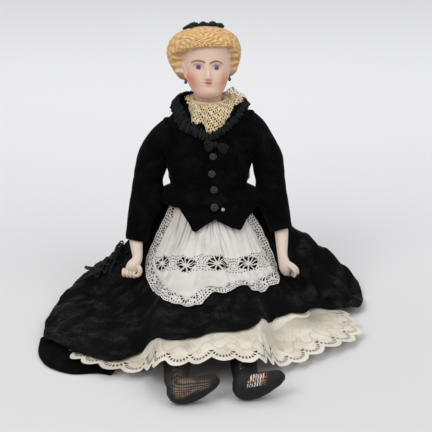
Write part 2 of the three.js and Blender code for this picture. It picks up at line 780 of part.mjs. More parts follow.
// Layers over the base, from the inside out
const petticoatOffset = flannelThickness + clothGap + 0.3;
const skirtOffset = petticoatOffset + cottonThickness + clothGap + 0.3;
const overskirtOffset = skirtOffset + silkThickness + clothGap + 0.3;

// Past the petticoat's hem the silk skirt sinks to the floor
function skirtDrop(turn, radius) {
  return (skirtOffset + floorRise - 0.5) * smooth(8, 30, radius - petticoatRadius(turn));
}

// A piece of cloth lying on the skirt, over some of its columns and rows
function overSkirt(turns, rows, thickness) {
  const radiiAt = (turn) => rowRadii(turn, skirtRadius).slice(...rows);
  const face = clothGrid(turns, radiiAt, overskirtOffset + thickness);
  const back = clothGrid(turns, radiiAt, overskirtOffset);
  return sheet(face, back);
}

const within = (low, high) => roundTurns.filter((turn) => turn >= rad(low) && turn <= rad(high));

function makeApron() {
  return overSkirt(within(apronEdge[1][0], apronEdge.at(-2)[0]), [0, rowCounts[0] + 1], apronThickness);
}

function makeSash() {
  return overSkirt(within(...sashTurns), [1, rowCounts[0] + 1], silkThickness);
}

// Knotted fringe: a net that spreads from the end of the sash, with two long strands
function makeFringe() {
  const first = rowCounts[0] + 1;
  const net = toSolid(overSkirt(within(...fringeTurns), [first, first + 4], silkThickness));
  const holes = [];
  for (let row = 0; row < netRows; row++) {
    for (let place = 0; place < netPlaces; place++) {
      const share = (place + (row % 2 ? 0.75 : 0.25)) / netPlaces;
      const centre = around(rad(mix(netTurns[0], netTurns[1], share)), 1, 1).multiplyScalar(netStart + row * netRowHeight);
      holes.push(toSolid(limb([[centre.x, centre.y, 5, 2.6, 2.6], [centre.x, centre.y, 70, 2.6, 2.6]], 4)));
    }
  }
  const strand = (places) => toSolid(limb(places.map(([degrees, radius, lift]) => {
    const point = basePoint(rad(degrees), radius);
    return [point.x, point.y, point.z + overskirtOffset + strandRadius + lift, strandRadius, strandRadius];
  }), 5, new THREE.Vector3(0, 0, 1)));
  const strands = [
    strand([[-98, 109, 0.2], [-98, 114, 2], [-100, 122, 2], [-104, 129, 2], [-109, 136, 2]]),
    strand([[-88, 109, 0.2], [-88, 114, 2], [-88, 121, 2], [-87, 128, 2], [-87, 135, 2]]),
  ];
  return fromSolid(holes.reduce((rest, hole) => rest.subtract(hole), net).add(strands[0]).add(strands[1]));
}

// Facing inside the skirt's hem: it shows where the back of the skirt is swept round to the front.
// Outer corners [x, y] on the floor, and the rise of the inner edge up to the hem it is sewn to
const facingOutline = [
  [-160, -108, 7.4], [-159, -137, 5.2], [-154, -156, 4.6], [-144, -172, 4.6], [-124, -184, 4.6],
  [-101, -183, 4.6], [-88, -187, 4.6],
];
const facingWidth = 32;

function makeFacing() {
  const rings = (offset) => [0, 0.5, 1].map((share) => facingOutline.map(([x, y, rise]) => {
    const scale = 1 - (share * facingWidth) / Math.hypot(x, y);
    return new THREE.Vector3(x * scale, y * scale, 0.1 + share * rise + offset);
  }));
  return sheet(rings(cottonThickness), rings(0));
}

// Arms: the doll's right one hangs over the skirt in a fist, the left one has its fingers out
const arms = {
  right: { side: -1, cuff: [72, -21, 71], wrist: [70.5, -36, 53], palm: [74, -41, 44] },
  left: { side: 1, cuff: [71.5, -20, 78], wrist: [72.5, -36, 57], palm: [74.5, -40, 47] },
};
const elbow = [62.5, -5, 113];
const stuffingEnd = [67.5, -12.5, 94];
const stumpTop = [67.7, -12.9, 93.35]; // of the fired forearm, against the end of the stuffed arm
const armTop = armholeX + seamGap;
const armSides = 16;

// Cross-sections of the sleeve: a fan about the armpit, then square to the arm
function armSections(arm) {
  const fan = [
    [0, 1, 37.5, armholeRadius],
    [20, 1.2, 31, armholeRadius - 0.5],
    [42, 1.4, 27, armholeRadius - 1],
    [66, 1.5, 26, armholeRadius - 1.5],
    [90, 1.6, 27.8, armholeRadius - 2],
  ];
  const sections = fan.map(([degrees, low, high, deep]) => {
    const wide = new THREE.Vector3(Math.sin(rad(degrees)), 0, Math.cos(rad(degrees)));
    const centre = new THREE.Vector3(armTop, 0, armpitHeight).addScaledVector(wide, (low + high) / 2);
    return { centre, wide, deep: new THREE.Vector3(0, 1, 0), a: (high - low) / 2, b: deep };
  });
  const path = [
    [59.6, -1, 132, 14.4, 15.6],
    [...elbow, 14.6, 15.4],
    [...stuffingEnd, 13, 14],
    [...arm.cuff, cuffRadius, cuffRadius + 0.6],
  ];
  path.forEach(([x, y, z, a, b], k) => {
    const [next, last] = [path[Math.min(k + 1, path.length - 1)], k > 0 ? path[k - 1] : [57.8, 0, armpitHeight]];
    const run = new THREE.Vector3(next[0] - last[0], next[1] - last[1], next[2] - last[2]).normalize();
    const wide = new THREE.Vector3(1, 0, 0).addScaledVector(run, -run.x).normalize();
    const deep = new THREE.Vector3().crossVectors(wide, run).normalize();
    sections.push({ centre: new THREE.Vector3(x, y, z), wide, deep, a, b });
  });
  return sections;
}

function sectionRing({ centre, wide, deep, a, b }, inset, side) {
  return oval(armSides, (c, d) => {
    const point = centre.clone().addScaledVector(wide, (a - inset) * c).addScaledVector(deep, (b - inset) * d);
    point.x *= side;
    return point;
  });
}

function makeSleeve(arm) {
  const sections = armSections(arm);
  const rings = (inset) => sections.map((section) => sectionRing(section, inset, arm.side));
  return shell(rings(0), rings(sleeveThickness));
}

// Stuffed cotton from the shoulder to below the elbow, inside the sleeve
function makeUpperArm(arm) {
  const stuffed = armSections(arm).slice(0, -1);
  return loft(stuffed.map((section) => sectionRing(section, sleeveThickness + clothGap + 0.5, arm.side)));
}

const mirrored = (arm, stations) => stations.map(([x, y, z, ...radii]) => [arm.side * x, y, z, ...radii]);

// Fired forearm and hand: the stump is tied inside the stuffed arm's end
function makeForearm(arm) {
  const [cx, cy, cz] = arm.cuff;
  const [wx, wy, wz] = arm.wrist;
  const [px, py, pz] = arm.palm;
  const [sx, sy, sz] = stumpTop;
  const pieces = [limb(mirrored(arm, [
    [sx, sy, sz, 8.2, 8.2],
    [sx + 0.7, sy - 1.2, sz - 3.2, 8.6, 8.6],
    [mix(sx, cx, 0.5), mix(sy, cy, 0.5), mix(sz, cz, 0.5), 7.4, 7.4],
    [cx, cy, cz, 6.9, 6.9],
    [(cx + wx) / 2, (cy + wy) / 2, (cz + wz) / 2, 5.9, 6],
    [wx, wy, wz, 5, 4.8],
    [px, py, pz, handRadius - 1.6, 5.4],
    [px + 1, py - 1, pz - 5, 3.2, 3],
  ]))];
  if (arm.side < 0) {
    // A closed fist across the palm, with the thumb laid over it
    pieces.push(limb([
      [-px + 8, py + 1, pz - 3, 2.5, 2.5],
      [-px + 6, py + 1, pz - 2.5, 4.6, 4.6],
      [-px - 2, py + 1.5, pz - 3.5, 6, 6],
      [-px - 8, py + 1, pz - 3.5, 5, 5],
      [-px - 10.5, py + 1, pz - 3.5, 2.6, 2.6],
    ], limbSides, new THREE.Vector3(0, 1, 0)));
  } else {
    // A thumb reaching outward and the fingers curled below it
    pieces.push(limb([
      [px + 1, py, pz + 6, 2.2, 2.2],
      [px + 5, py - 0.5, pz + 3, 2.6, 2.6],
      [px + 9.5, py - 1, pz - 1.5, 2.4, 2.4],
      [px + 12.5, py - 1, pz - 5.5, 1.5, 1.5],
    ], 10));
    pieces.push(limb([
      [px, py, pz - 1, 3.2, 3.2],
      [px + 3.5, py, pz - 6, 3.2, 3.2],
      [px + 7.5, py, pz - 9.5, 1.8, 1.8],
    ], 10));
  }
  return union(pieces);
}

// Legs: stuffed cotton. Each end is sewn flat across, so the halves taper to the seams
const seamHalf = 0.4;
const flatRing = (x, y, z, a, b) => oval(limbSides, (c, d) => new THREE.Vector3(x + a * c, y, z + b * d));

function makeThigh(leg) {
  const row = (y, height) => {
    const [radius, centre] = along(legTable, y);
    return flatRing(legCentreX(leg, y), y, centre, radius, Math.min(height, radius));
  };
  const taper = 0.9; // rise of the flattened end for each millimetre along the leg
  const top = -hipFront;
  const end = kneeY + seamGap;
  const rows = [row(top, seamHalf), row(top - 9, seamHalf + 9 * taper), row(top - 18.5, thighRadius)];
  rows.push(row(kneeY + 60, thighRadius), row(end + 16, thighRadius), row(end + 8, seamHalf + 8 * taper), row(end, seamHalf));
  return loft(rows);
}

// Lower leg and foot, grown by a little for the stocking that covers them
function lowerLeg(leg, grow, fromKnee) {
  const rows = [];
  const start = kneeY - seamGap;
  const add = (y, height) => {
    const [radius, centre] = along(legTable, y);
    rows.push(flatRing(legCentreX(leg, y), y, centre, radius + grow, Math.min(height, radius) + grow));
  };
  if (fromKnee) {
    add(start, seamHalf);
    add(start - 8, seamHalf + 8 * 0.9);
    add(start - 16, thighRadius);
  }
  for (const y of [stockingTopY, ankleY + 32, ankleY + 14, ankleY]) add(y, thighRadius);
  const [, heelCentre] = along(legTable, leg.footY);
  rows.push(flatRing(leg.heel, leg.footY - 1 - grow, heelCentre, 7.5 + grow, 8.5 + grow));
  const shin = loft(rows);
  const foot = [
    [-10.5, 0, 11.5, 3, 3.5],
    [-7.5, 0, 11.2, 7.2, 8.2],
    [0, 0, 11, 8.6, 10.4],
    [10, 1, 12.2, 8, 10],
    [19, 2, 15.2, 7, 8.2],
    [27, 3, 18, 5.4, 6],
    [footLength - 1.5, 3.5, 19.5, 2.6, 3],
  ].map(([x, y, z, deep, high], k, all) => {
    const end = k === 0 ? -grow : k === all.length - 1 ? grow : 0;
    return oval(limbSides, (c, d) => new THREE.Vector3(
      leg.heel + x + end, leg.footY + y + (deep + grow) * c, z + footRise + (high + grow) * d,
    ));
  });
  return toSolid(shin).add(toSolid(loft(foot)));
}

const makeLowerLeg = (leg) => fromSolid(lowerLeg(leg, 0, true));

function makeStocking(leg) {
  return fromSolid(lowerLeg(leg, clothGap + stockingThickness, false).subtract(lowerLeg(leg, clothGap, true)));
}

// Ribbon across the crown, gathered into small knots, lying on the hair
function makeHairRibbon() {
  const crown = [
    [-1, 56], [-1, 58], [-1, 60], [-1, 61.7], [-1, 63.3], [0, hairTop], [1, 63.6], [1, 62.3], [1, 60.5],
  ];
  const knots = [0.6, 1, 1.5, 1.1, 1.5, 1.1, 1.5, 1.1, 0.6];
  const stations = crown.map(([side, z], k) => {
    const point = headPoint(side === 0 ? 0 : side * Math.PI * 0.5, z);
    if (side === 0) point.set(hairShift, 0, hairTop);
    const outward = point.clone().sub(new THREE.Vector3(hairShift, 0, hairWidestHeight - 6)).normalize();
    point.addScaledVector(outward, ribbonRadius * knots[k] + clothGap + 0.2).applyMatrix4(headPose);
    return [...point.toArray(), ribbonRadius * knots[k] * 1.2, ribbonRadius * knots[k]];
  });
  return limb(stations, 10, new THREE.Vector3(0, 1, 0));
}

function makeEarring(side) {
  const lobe = headPoint(side * rad(76), earringHeight);
  lobe.x += side * 1.9;
  lobe.applyMatrix4(headPose);
  const profile = [[0, 3.2], [0.5, 2.9], [0.45, 1.2], [1.3, 0], [1.5, -1.4], [0.9, -2.8], [0, -3.2]];
  const geometry = new THREE.LatheGeometry(profile.toReversed().map(([r, z]) => new THREE.Vector2(r, z)), 8);
  return geometry.rotateX(Math.PI / 2).translate(...lobe.toArray());
}

// The most forward place of the jacket's front under a small round piece
function jacketFront(jacket, x, height, radius) {
  const places = oval(8, (c, d) => new THREE.Vector3(x + radius * c, -100, height + radius * d));
  const hits = places.map((place) => new THREE.Raycaster(place, new THREE.Vector3(0, 1, 0)).intersectObject(jacket)[0].point.y);
  return Math.min(...hits);
}

// Faceted jet button on the jacket's front
function makeButton(jacket, x, z, radius) {
  const profile = [[0, 0], [radius * 0.8, 0], [radius, 0.9], [radius * 0.86, 1.7], [radius * 0.4, 2.4], [0, 2.5]];
  const geometry = new THREE.LatheGeometry(profile.map(([r, h]) => new THREE.Vector2(r, h)), 10);
  return geometry.rotateX(Math.PI).translate(x, jacketFront(jacket, x, z, 0.85 * radius) - buttonGap, z);
}

// Bow under the neckline: two folded loops and the knot between them
function makeBow(jacket) {
  const [x, y, z] = [bowX, jacketFront(jacket, bowX, bowHeight, 7) - buttonGap - 2.8, bowHeight];
  const loop = (side) => limb([
    [x + side * 1, y, z, 2, 1.6],
    [x + side * 4, y - 0.3, z + 0.6, 4.2, 2.2],
    [x + side * 9, y + 0.2, z + (side < 0 ? 3 : -1), 6.6, 2.6],
    [x + side * 13.5, y + 1.2, z + (side < 0 ? 3 : -1.6), 6.2, 1.8],
    [x + side * 15, y + 1.6, z + (side < 0 ? 3 : -1.8), 4.4, 0.8],
  ], 8, new THREE.Vector3(0, 0, 1));
  const knot = new THREE.SphereGeometry(3.4, 10, 6).scale(1, 0.85, 1.15).translate(x, y - 0.6, z);
  return union([loop(-1), loop(1), knot]);
}

// A band round the waist between two distances from the body
function waistRing(low, high, inner, outer) {
  const rings = (offset) => [low, high].map((z) => figureRing(z, offset, 24));
  return shell(rings(outer), rings(inner));
}

// Bow of the apron's ties, behind the waist and clear of the jacket's hem
function makeApronBow() {
  const z = apronBandHeight;
  const bandY = along(figureTable, z)[1] + apronBandOffset + apronThickness + clothGap;
  const y = bandY + 11;
  const loop = (side) => limb([
    [side * 1, y, z, 2.5, 2],
    [side * 12, y + 2, z + 6, 6, 3],
    [side * 28, y - 1, z + 13, 9.5, 3],
    [side * 38, y - 6, z + 15, 8, 2.4],
    [side * 41, y - 7.5, z + 15, 5, 1],
  ], 8, new THREE.Vector3(0, 0, 1));
  const tail = (side) => limb([
    [side * 1, y + 1, z, 2.5, 1.2],
    [side * 6, y + 9, z - 13, 5, 1.2],
    [side * 10, y + 20, z - 25, 6, 1.2],
  ], 8, new THREE.Vector3(1, 0, 0));
  const knot = new THREE.SphereGeometry(4.4, 10, 6).translate(0, y + 1, z);
  const root = limb([[0, bandY, z, 4, 2.2], [0, y, z, 4, 3]], 8, new THREE.Vector3(1, 0, 0));
  return union([loop(-1), loop(1), tail(-1), tail(1), knot, root]);
}

// Tape sewn from a hole in the shoulder plate's edge down to the body
function makeTape(degrees) {
  const turns = [-7, 0, 7].map((step) => rad(degrees + step));
  const levels = [plateEdgeHeight - 4.5, plateEdgeHeight - 11];
  const grid = (offset) => levels.map((z) => turns.map((turn) => {
    const [a, b, centreY] = along(figureTable, z);
    return bodyPoint(turn, a + offset, b + offset, centreY, z);
  }));
  return sheet(grid(0.55), grid(-0.15));
}

const doll = new THREE.Group();
function add(name, geometry, colour, roughness, metalness = 0) {
  const mesh = new THREE.Mesh(geometry, new THREE.MeshStandardMaterial({ color: colour, roughness, metalness }));
  mesh.name = name;
  doll.add(mesh);
  return mesh;
}

add('torso', makeTorso(), 0xe6dccb, 0.9);
add('shoulder_head', makeShoulderHead(), 0xdec4b4, 0.5);
add('hair_ribbon', makeHairRibbon(), 0x15191a, 0.6);
add('earring_right', makeEarring(-1), 0x3c4858, 0.2);
add('earring_left', makeEarring(1), 0x3c4858, 0.2);
for (const [name, degrees] of Object.entries(tapePlaces)) add(`sewing_tape_${name}`, makeTape(degrees), 0xd8d0bd, 0.9);
for (const [name, arm] of Object.entries(arms)) {
  add(`upper_arm_${name}`, makeUpperArm(arm), 0xe6dccb, 0.9);
  add(`forearm_${name}`, makeForearm(arm), 0xe0cabb, 0.5);
  add(`sleeve_${name}`, makeSleeve(arm), 0x0b0b0c, 0.95);
}
for (const [name, leg] of Object.entries(legs)) {
  add(`thigh_${name}`, makeThigh(leg), 0xe6dccb, 0.9);
  add(`lower_leg_${name}`, makeLowerLeg(leg), 0xcdb694, 0.9);
  add(`stocking_${name}`, makeStocking(leg), 0x16120f, 0.8);
}
const jacket = add('jacket', makeJacket(), 0x0b0b0c, 0.95);
add('neck_ruffle', makeNeckRuffle(), 0x101012, 0.6);
add('jacket_bow', makeBow(jacket), 0x101012, 0.55);
buttonPlaces.forEach(([x, share, radius], k) => {
  const height = mix(lowestButton, highestButton, share);
  add(`button_${k + 1}`, makeButton(jacket, x, height, radius), 0x2b2c2e, 0.2);
});
add('pearl_stud', makeButton(jacket, studX, studHeight, studRadius), 0xb9b4ac, 0.3, 0.3);
add('lace_collar', makeCollar(), 0xdccfae, 0.9);
add('skirt_waistband', waistRing(
  waistbandHeight - bandHalfWidth,
  waistbandHeight + bandHalfWidth,
  0.1,
  waistbandGap - clothGap,
), 0xd8d0bd, 0.9);
add('flannel_petticoat', skirtShell(null, 0, flannelThickness), 0xc99a86, 0.95);
add('petticoat', skirtShell(petticoatRadius, petticoatOffset, cottonThickness), 0xdcd4be, 0.9);
add('skirt', skirtShell(skirtRadius, skirtOffset, silkThickness, skirtDrop), 0x161617, 0.6);
add('skirt_facing', makeFacing(), 0x1d1d1e, 0.7);
add('apron', makeApron(), 0xe6e1d8, 0.9);
add('apron_band', waistRing(
  apronBandHeight - bandHalfWidth,
  apronBandHeight + bandHalfWidth,
  apronBandOffset,
  apronBandOffset + apronThickness,
), 0xe6e1d8, 0.9);
add('apron_bow', makeApronBow(), 0xe6e1d8, 0.9);
add('sash', makeSash(), 0x1b1b1c, 0.6);
add('sash_fringe', makeFringe(), 0x111112, 0.6);

export default doll;
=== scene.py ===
import math
import bmesh
import bpy
import numpy as np
from mathutils.bvhtree import BVHTree
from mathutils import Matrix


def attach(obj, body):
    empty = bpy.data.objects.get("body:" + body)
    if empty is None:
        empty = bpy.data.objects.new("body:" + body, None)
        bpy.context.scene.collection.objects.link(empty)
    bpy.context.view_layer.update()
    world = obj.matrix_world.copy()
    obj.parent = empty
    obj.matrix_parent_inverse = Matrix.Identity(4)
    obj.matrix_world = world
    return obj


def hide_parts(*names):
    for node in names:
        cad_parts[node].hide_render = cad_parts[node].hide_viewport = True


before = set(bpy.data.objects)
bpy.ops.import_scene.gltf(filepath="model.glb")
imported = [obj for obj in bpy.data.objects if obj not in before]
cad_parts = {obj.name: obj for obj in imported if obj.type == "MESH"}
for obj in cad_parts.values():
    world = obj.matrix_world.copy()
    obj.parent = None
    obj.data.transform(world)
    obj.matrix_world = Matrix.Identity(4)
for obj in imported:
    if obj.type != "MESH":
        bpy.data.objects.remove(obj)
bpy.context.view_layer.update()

mm = 0.001


# Shape tools: shapes are worked out in millimetres and put into meshes in metres.

def smooth(low, high, value):
    # 0 below low, 1 above high, and an S curve between them
    t = np.clip((np.asarray(value, float) - low) / (high - low), 0, 1)
    return t * t * (3 - 2 * t)


def bell(value, centre, width):
    # a bell curve: 1 at the centre, falling with the square of the distance
    return np.exp(-((np.asarray(value, float) - centre) / width) ** 2)


def mix(a, b, t):
    # a at t = 0 and b at t = 1, in a straight line
    return a + (b - a) * t


def along(table, place):
    # straight lines through the rows of a table whose first column is the place
    table = np.array(table, float)
    return [np.interp(place, table[:, 0], table[:, k]) for k in range(1, table.shape[1])]


def unit(vectors):
    # vectors divided by their lengths
    return vectors / np.maximum(np.linalg.norm(vectors, axis=-1, keepdims=True), 1e-9)


def smoothPath(points, count):
    # a Catmull-Rom curve through the points, evenly sampled
    points = np.asarray(points, float)
    padded = np.concatenate([2 * points[:1] - points[1:2], points, 2 * points[-1:] - points[-2:-1]])
    t = np.linspace(0, len(points) - 1, count)
    k = np.minimum(t.astype(int), len(points) - 2)
    f = (t - k)[:, None]
    p0, p1, p2, p3 = [padded[k + i] for i in range(4)]
    bend = (2 * p0 - 5 * p1 + 4 * p2 - p3) * f ** 2 + (3 * p1 - p0 - 3 * p2 + p3) * f ** 3
    return 0.5 * (2 * p1 + (p2 - p0) * f + bend)


def gridFaces(rows, columns):
    # quads between neighbouring points of a grid
    corner = np.arange(rows - 1)[:, None] * columns + np.arange(columns - 1)[None, :]
    return np.stack([corner, corner + 1, corner + columns + 1, corner + columns], -1).reshape(-1, 4)


def repeatEnds(values):
    # the first and last rows of a grid, each once more
    return np.concatenate([values[:1], values, values[-1:]])


def turnsRound(count, start=0.0):
    # a row of even turns once round, in radians
    return np.linspace(start, start + 2 * np.pi, count, endpoint=False)[None, :]


def gridOf(*parts):
    # x, y and z of any matching shapes joined into points
    return np.stack(np.broadcast_arrays(*parts), -1)


def closeRound(grid, step=0.0):
    # repeats the first column of a grid after its last, moved on by a step
    return np.concatenate([grid, grid[:, :1] + step], 1)


def patch(points, wrap=False, flip=False, uv=None, paint=None, keep=None):
    # one grid surface: points, flat uv in metres and painted colours, all as (rows, columns, ...).
    # keep is a value at each point, and the surface ends in a clean line where it falls below zero
    if wrap:
        points = closeRound(points)
        paint = None if paint is None else closeRound(paint)
        keep = None if keep is None else closeRound(keep)
        uv = uv if uv is None or uv.shape[1] == points.shape[1] else closeRound(uv)
    rows, columns = points.shape[:2]
    uv = np.zeros((rows, columns, 2)) if uv is None else uv
    paint = np.ones((rows, columns, 3)) if paint is None else paint
    data = np.concatenate([points, uv, paint], -1).reshape(-1, 8)
    faces = gridFaces(rows, columns)
    if keep is not None:
        data, faces = cutAway(data, faces, np.broadcast_to(keep, (rows, columns)).reshape(-1))
    if flip:
        triangle = faces[:, 3] < 0
        faces = faces[:, ::-1].copy()
        faces[triangle] = np.roll(faces[triangle], -1, 1)
    return {"data": data, "faces": faces}


def cutAway(data, faces, value):
    # clips the faces at the line where the value is zero; a triangle has -1 as its fourth corner
    inside = value[faces] > 0
    whole = faces[inside.all(1)]
    partly = faces[inside.any(1) & ~inside.all(1)]
    triangles = np.concatenate([partly[:, [0, 1, 2]], partly[:, [0, 2, 3]]])
    held = value[triangles] > 0
    count = held.sum(1)

    def ordered(chosen, first):
        # triangles turned so that they start at the chosen corner
        return np.take_along_axis(chosen, (first[:, None] + np.arange(3)) % 3, 1)

    one = ordered(triangles[count == 1], np.argmax(held[count == 1], 1))
    two = ordered(triangles[count == 2], (np.argmin(held[count == 2], 1) + 1) % 3)
    three = triangles[count == 3]
    low = np.concatenate([one[:, 0], one[:, 0], two[:, 1], two[:, 0]])
    high = np.concatenate([one[:, 1], one[:, 2], two[:, 2], two[:, 2]])
    total = len(data)
    key, place = np.unique(np.minimum(low, high) * total + np.maximum(low, high), return_inverse=True)
    a, b = key // total, key % total
    share = (value[a] / (value[a] - value[b]))[:, None]
    data = np.concatenate([data, data[a] + (data[b] - data[a]) * share])
    place = total + place.reshape(-1)
    n, m = len(one), len(two)
    faces = np.concatenate([
        whole,
        np.column_stack([three, np.full(len(three), -1)]),
        np.column_stack([one[:, 0], place[:n], place[n:2 * n], np.full(n, -1)]),
        np.column_stack([two[:, 0], two[:, 1], place[2 * n:2 * n + m], place[2 * n + m:]]),
    ])
    used = np.unique(faces[faces >= 0])
    again = np.zeros(len(data), int)
    again[used] = np.arange(len(used))
    return data[used], np.where(faces < 0, -1, again[faces])


def capped(points, flip=False, uv=None, paint=None):
    # a closed tube-like patch whose first and last rows are drawn in to a point
    first = points[:1].mean(1, keepdims=True) + np.zeros_like(points[:1])
    last = points[-1:].mean(1, keepdims=True) + np.zeros_like(points[:1])
    uv, paint = [None if values is None else repeatEnds(values) for values in (uv, paint)]
    return patch(np.concatenate([first, points, last]), True, flip, uv, paint)


def framesAlong(path, towards):
    # tangent, side and back directions at each point of a path
    tangent = unit(np.gradient(path, axis=0))
    towards = np.broadcast_to(np.asarray(towards, float), path.shape)
    side = unit(towards - tangent * (towards * tangent).sum(-1, keepdims=True))
    return tangent, side, np.cross(tangent, side)


def tube(path, wide, deep=None, sides=10, towards=(0, 0, 1), ring=False):
    # an oval section carried along a path: wide and deep are its half sizes at each point
    path = np.asarray(path, float)
    if ring:
        frames = framesAlong(np.concatenate([path[-1:], path, path[:1]]), towards)
        tangent, side, back = [v[1:-1] for v in frames]
    else:
        tangent, side, back = framesAlong(path, towards)
    wide = np.broadcast_to(wide, len(path))[:, None, None]
    deep = wide if deep is None else np.broadcast_to(deep, len(path))[:, None, None]
    turn = turnsRound(sides)[..., None]
    grid = path[:, None] + wide * np.cos(turn) * side[:, None] + deep * np.sin(turn) * back[:, None]
    if ring:
        return patch(np.concatenate([grid, grid[:1]]), True)
    return capped(grid)


def ball(centre, radii, sides=16):
    # an ellipsoid: rings of cosine size at sine height
    rise = np.linspace(-np.pi / 2, np.pi / 2, sides // 2 + 1)[1:-1, None]
    turn = turnsRound(sides)
    shape = gridOf(np.cos(rise) * np.cos(turn), np.cos(rise) * np.sin(turn), np.sin(rise))
    return capped(np.asarray(centre, float) + shape * np.asarray(radii, float))


def painted(patches, tone):
    # one painted colour all over
    for part in patches:
        part["data"][:, 5:8] = tone
    return patches


def makePiece(name, patches, materials, body="doll", stands=(), thickness=0):
    # joins patches into one mesh object in metres and rides it on its body
    starts = np.cumsum([0] + [len(p["data"]) for p in patches[:-1]])
    data = np.concatenate([p["data"] for p in patches])
    faces = np.concatenate([np.where(p["faces"] < 0, -1, p["faces"] + s) for p, s in zip(patches, starts)])
    corners = faces[faces >= 0]
    counts = (faces >= 0).sum(1)
    mesh = bpy.data.meshes.new(name)
    mesh.vertices.add(len(data))
    mesh.vertices.foreach_set("co", (data[:, :3] * mm).ravel())
    mesh.loops.add(len(corners))
    mesh.loops.foreach_set("vertex_index", corners.astype(np.int32))
    mesh.polygons.add(len(faces))
    mesh.polygons.foreach_set("loop_start", np.concatenate([[0], np.cumsum(counts)[:-1]]).astype(np.int32))
    mesh.polygons.foreach_set("use_smooth", np.ones(len(faces), bool))
    mesh.update(calc_edges=True)
    mesh.uv_layers.new(name="flat").uv.foreach_set("vector", data[corners, 3:5].astype(np.float32).ravel())
    paint = mesh.color_attributes.new("paint", "FLOAT_COLOR", "POINT")
    paint.data.foreach_set("color", np.column_stack([data[:, 5:8], np.ones(len(data))]).ravel())
    work = bmesh.new()
    work.from_mesh(mesh)
    bmesh.ops.remove_doubles(work, verts=work.verts, dist=0.00001)
    work.to_mesh(mesh)
    work.free()
    for material in materials:
        mesh.materials.append(material)
    piece = bpy.data.objects.new(name, mesh)
    bpy.context.collection.objects.link(piece)
    if thickness:
        shell = piece.modifiers.new("thickness", "SOLIDIFY")
        shell.thickness = thickness * mm
        shell.offset = -1
    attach(piece, body)
    if stands:
        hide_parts(*stands)
    return piece


def nearestOn(line, points):
    # signed distance to a line of points, + on its left in plan, and the length along it
    flat = points.reshape(-1, 3)
    length = np.concatenate([[0], np.cumsum(np.linalg.norm(np.diff(line, axis=0), axis=1))])
    best = np.zeros(len(flat), int)
    square = (line ** 2).sum(1)
    for start in range(0, len(flat), 20000):
        part = flat[start:start + 20000]
        best[start:start + 20000] = np.argmin(square - 2 * part @ line.T, axis=1)
    tangent = unit(np.gradient(line, axis=0))[best]
    away = flat - line[best]
    ahead = (away * tangent).sum(1)
    side = away - tangent * ahead[:, None]
    sign = np.sign(tangent[:, 0] * away[:, 1] - tangent[:, 1] * away[:, 0])
    shape = points.shape[:-1]
    return (np.linalg.norm(side, axis=1) * sign).reshape(shape), (length[best] + ahead).reshape(shape)


# Materials.

def linear(r, g, b):
    # an sRGB colour in 0..255 as linear light
    c = np.array([r, g, b]) / 255
    return tuple(np.where(c <= 0.04045, c / 12.92, ((c + 0.055) / 1.055) ** 2.4)) + (1.0,)


def toneOf(rgb):
    # an sRGB colour in 0..255 as three linear values, for painting points
    return np.array(linear(*rgb)[:3])


def brushOn(paint):
    # a brush that lays a tone over painted colours, as far as a mask from 0 to 1 says
    def brush(mask, tone):
        paint[:] = mix(paint, tone, np.clip(mask, 0, 1)[..., None])

    return brush


class Finish:
    # a material under construction: add() puts in a node, and a socket given as an input is linked
    def __init__(self, name, **shaderInputs):
        self.material = bpy.data.materials.new(name)
        self.material.use_nodes = True
        self.tree = self.material.node_tree
        self.tree.nodes.clear()
        self.shader = self.add("BsdfPrincipled", **shaderInputs)
        out = self.add("OutputMaterial")
        self.tree.links.new(self.shader.outputs[0], out.inputs["Surface"])

    def add(self, kind, props=None, **inputs):
        # a node of this kind, its properties set and its inputs filled
        node = self.tree.nodes.new("ShaderNode" + kind)
        for key, value in (props or {}).items():
            setattr(node, key, value)
        for key, value in inputs.items():
            self.set(node, key, value)
        return node

    def set(self, node, key, value):
        # an input by its name, or by its number after _
        socket = node.inputs[int(key[1:])] if key[0] == "_" else node.inputs[key.replace("_", " ")]
        if isinstance(value, bpy.types.NodeSocket):
            self.tree.links.new(value, socket)
        else:
            socket.default_value = value

    def objectPlace(self):
        # the place on the piece in metres
        return self.add("TexCoord").outputs["Object"]

    def flatPlace(self):
        # the place on the flat cloth in metres
        return self.add("UVMap", {"uv_map": "flat"}).outputs[0]

    def painted(self):
        # the colour painted on the points
        return self.add("Attribute", {"attribute_name": "paint"}).outputs["Color"]

    def noise(self, place, scale, detail=2.0, roughness=0.5, distortion=0.0):
        # cloudy values from 0 to 1
        node = self.add("TexNoise", Vector=place, Scale=scale, Detail=detail, Roughness=roughness,
                        Distortion=distortion)
        return node.outputs[0]

    def maths(self, operation, a, b=0.0, c=None):
        # one sum with two or three values
        node = self.add("Math", {"operation": operation}, _0=a, _1=b)
        if c is not None:
            self.set(node, "_2", c)
        return node.outputs[0]

    def ramp(self, value, low, high):
        # 0 at low, 1 at high, and an S curve between them
        node = self.add("MapRange", {"interpolation_type": "SMOOTHSTEP"},
                        Value=value, From_Min=low, From_Max=high)
        return node.outputs[0]

    def blend(self, factor, a, b, mode="MIX"):
        # colour b over colour a, as far as the factor says
        return self.add("Mix", {"data_type": "RGBA", "blend_type": mode}, _0=factor, _6=a, _7=b).outputs[2]

    def colour(self, value):
        # the colour of the shader
        self.set(self.shader, "Base_Color", value)

    def bump(self, height, strength, distance):
        # relief from a height at each point
        node = self.add("Bump", Height=height, Strength=strength, Distance=distance)
        self.set(self.shader, "Normal", node.outputs[0])

    def weave(self, threads):
        # plain weave: the product of fine waves along the cloth's two directions
        split = self.add("SeparateXYZ", Vector=self.flatPlace())
        turns = 2 * math.pi * threads
        waves = [self.maths("SINE", self.maths("MULTIPLY", split.outputs[k], turns)) for k in (0, 1)]
        return self.maths("MULTIPLY", waves[0], waves[1])


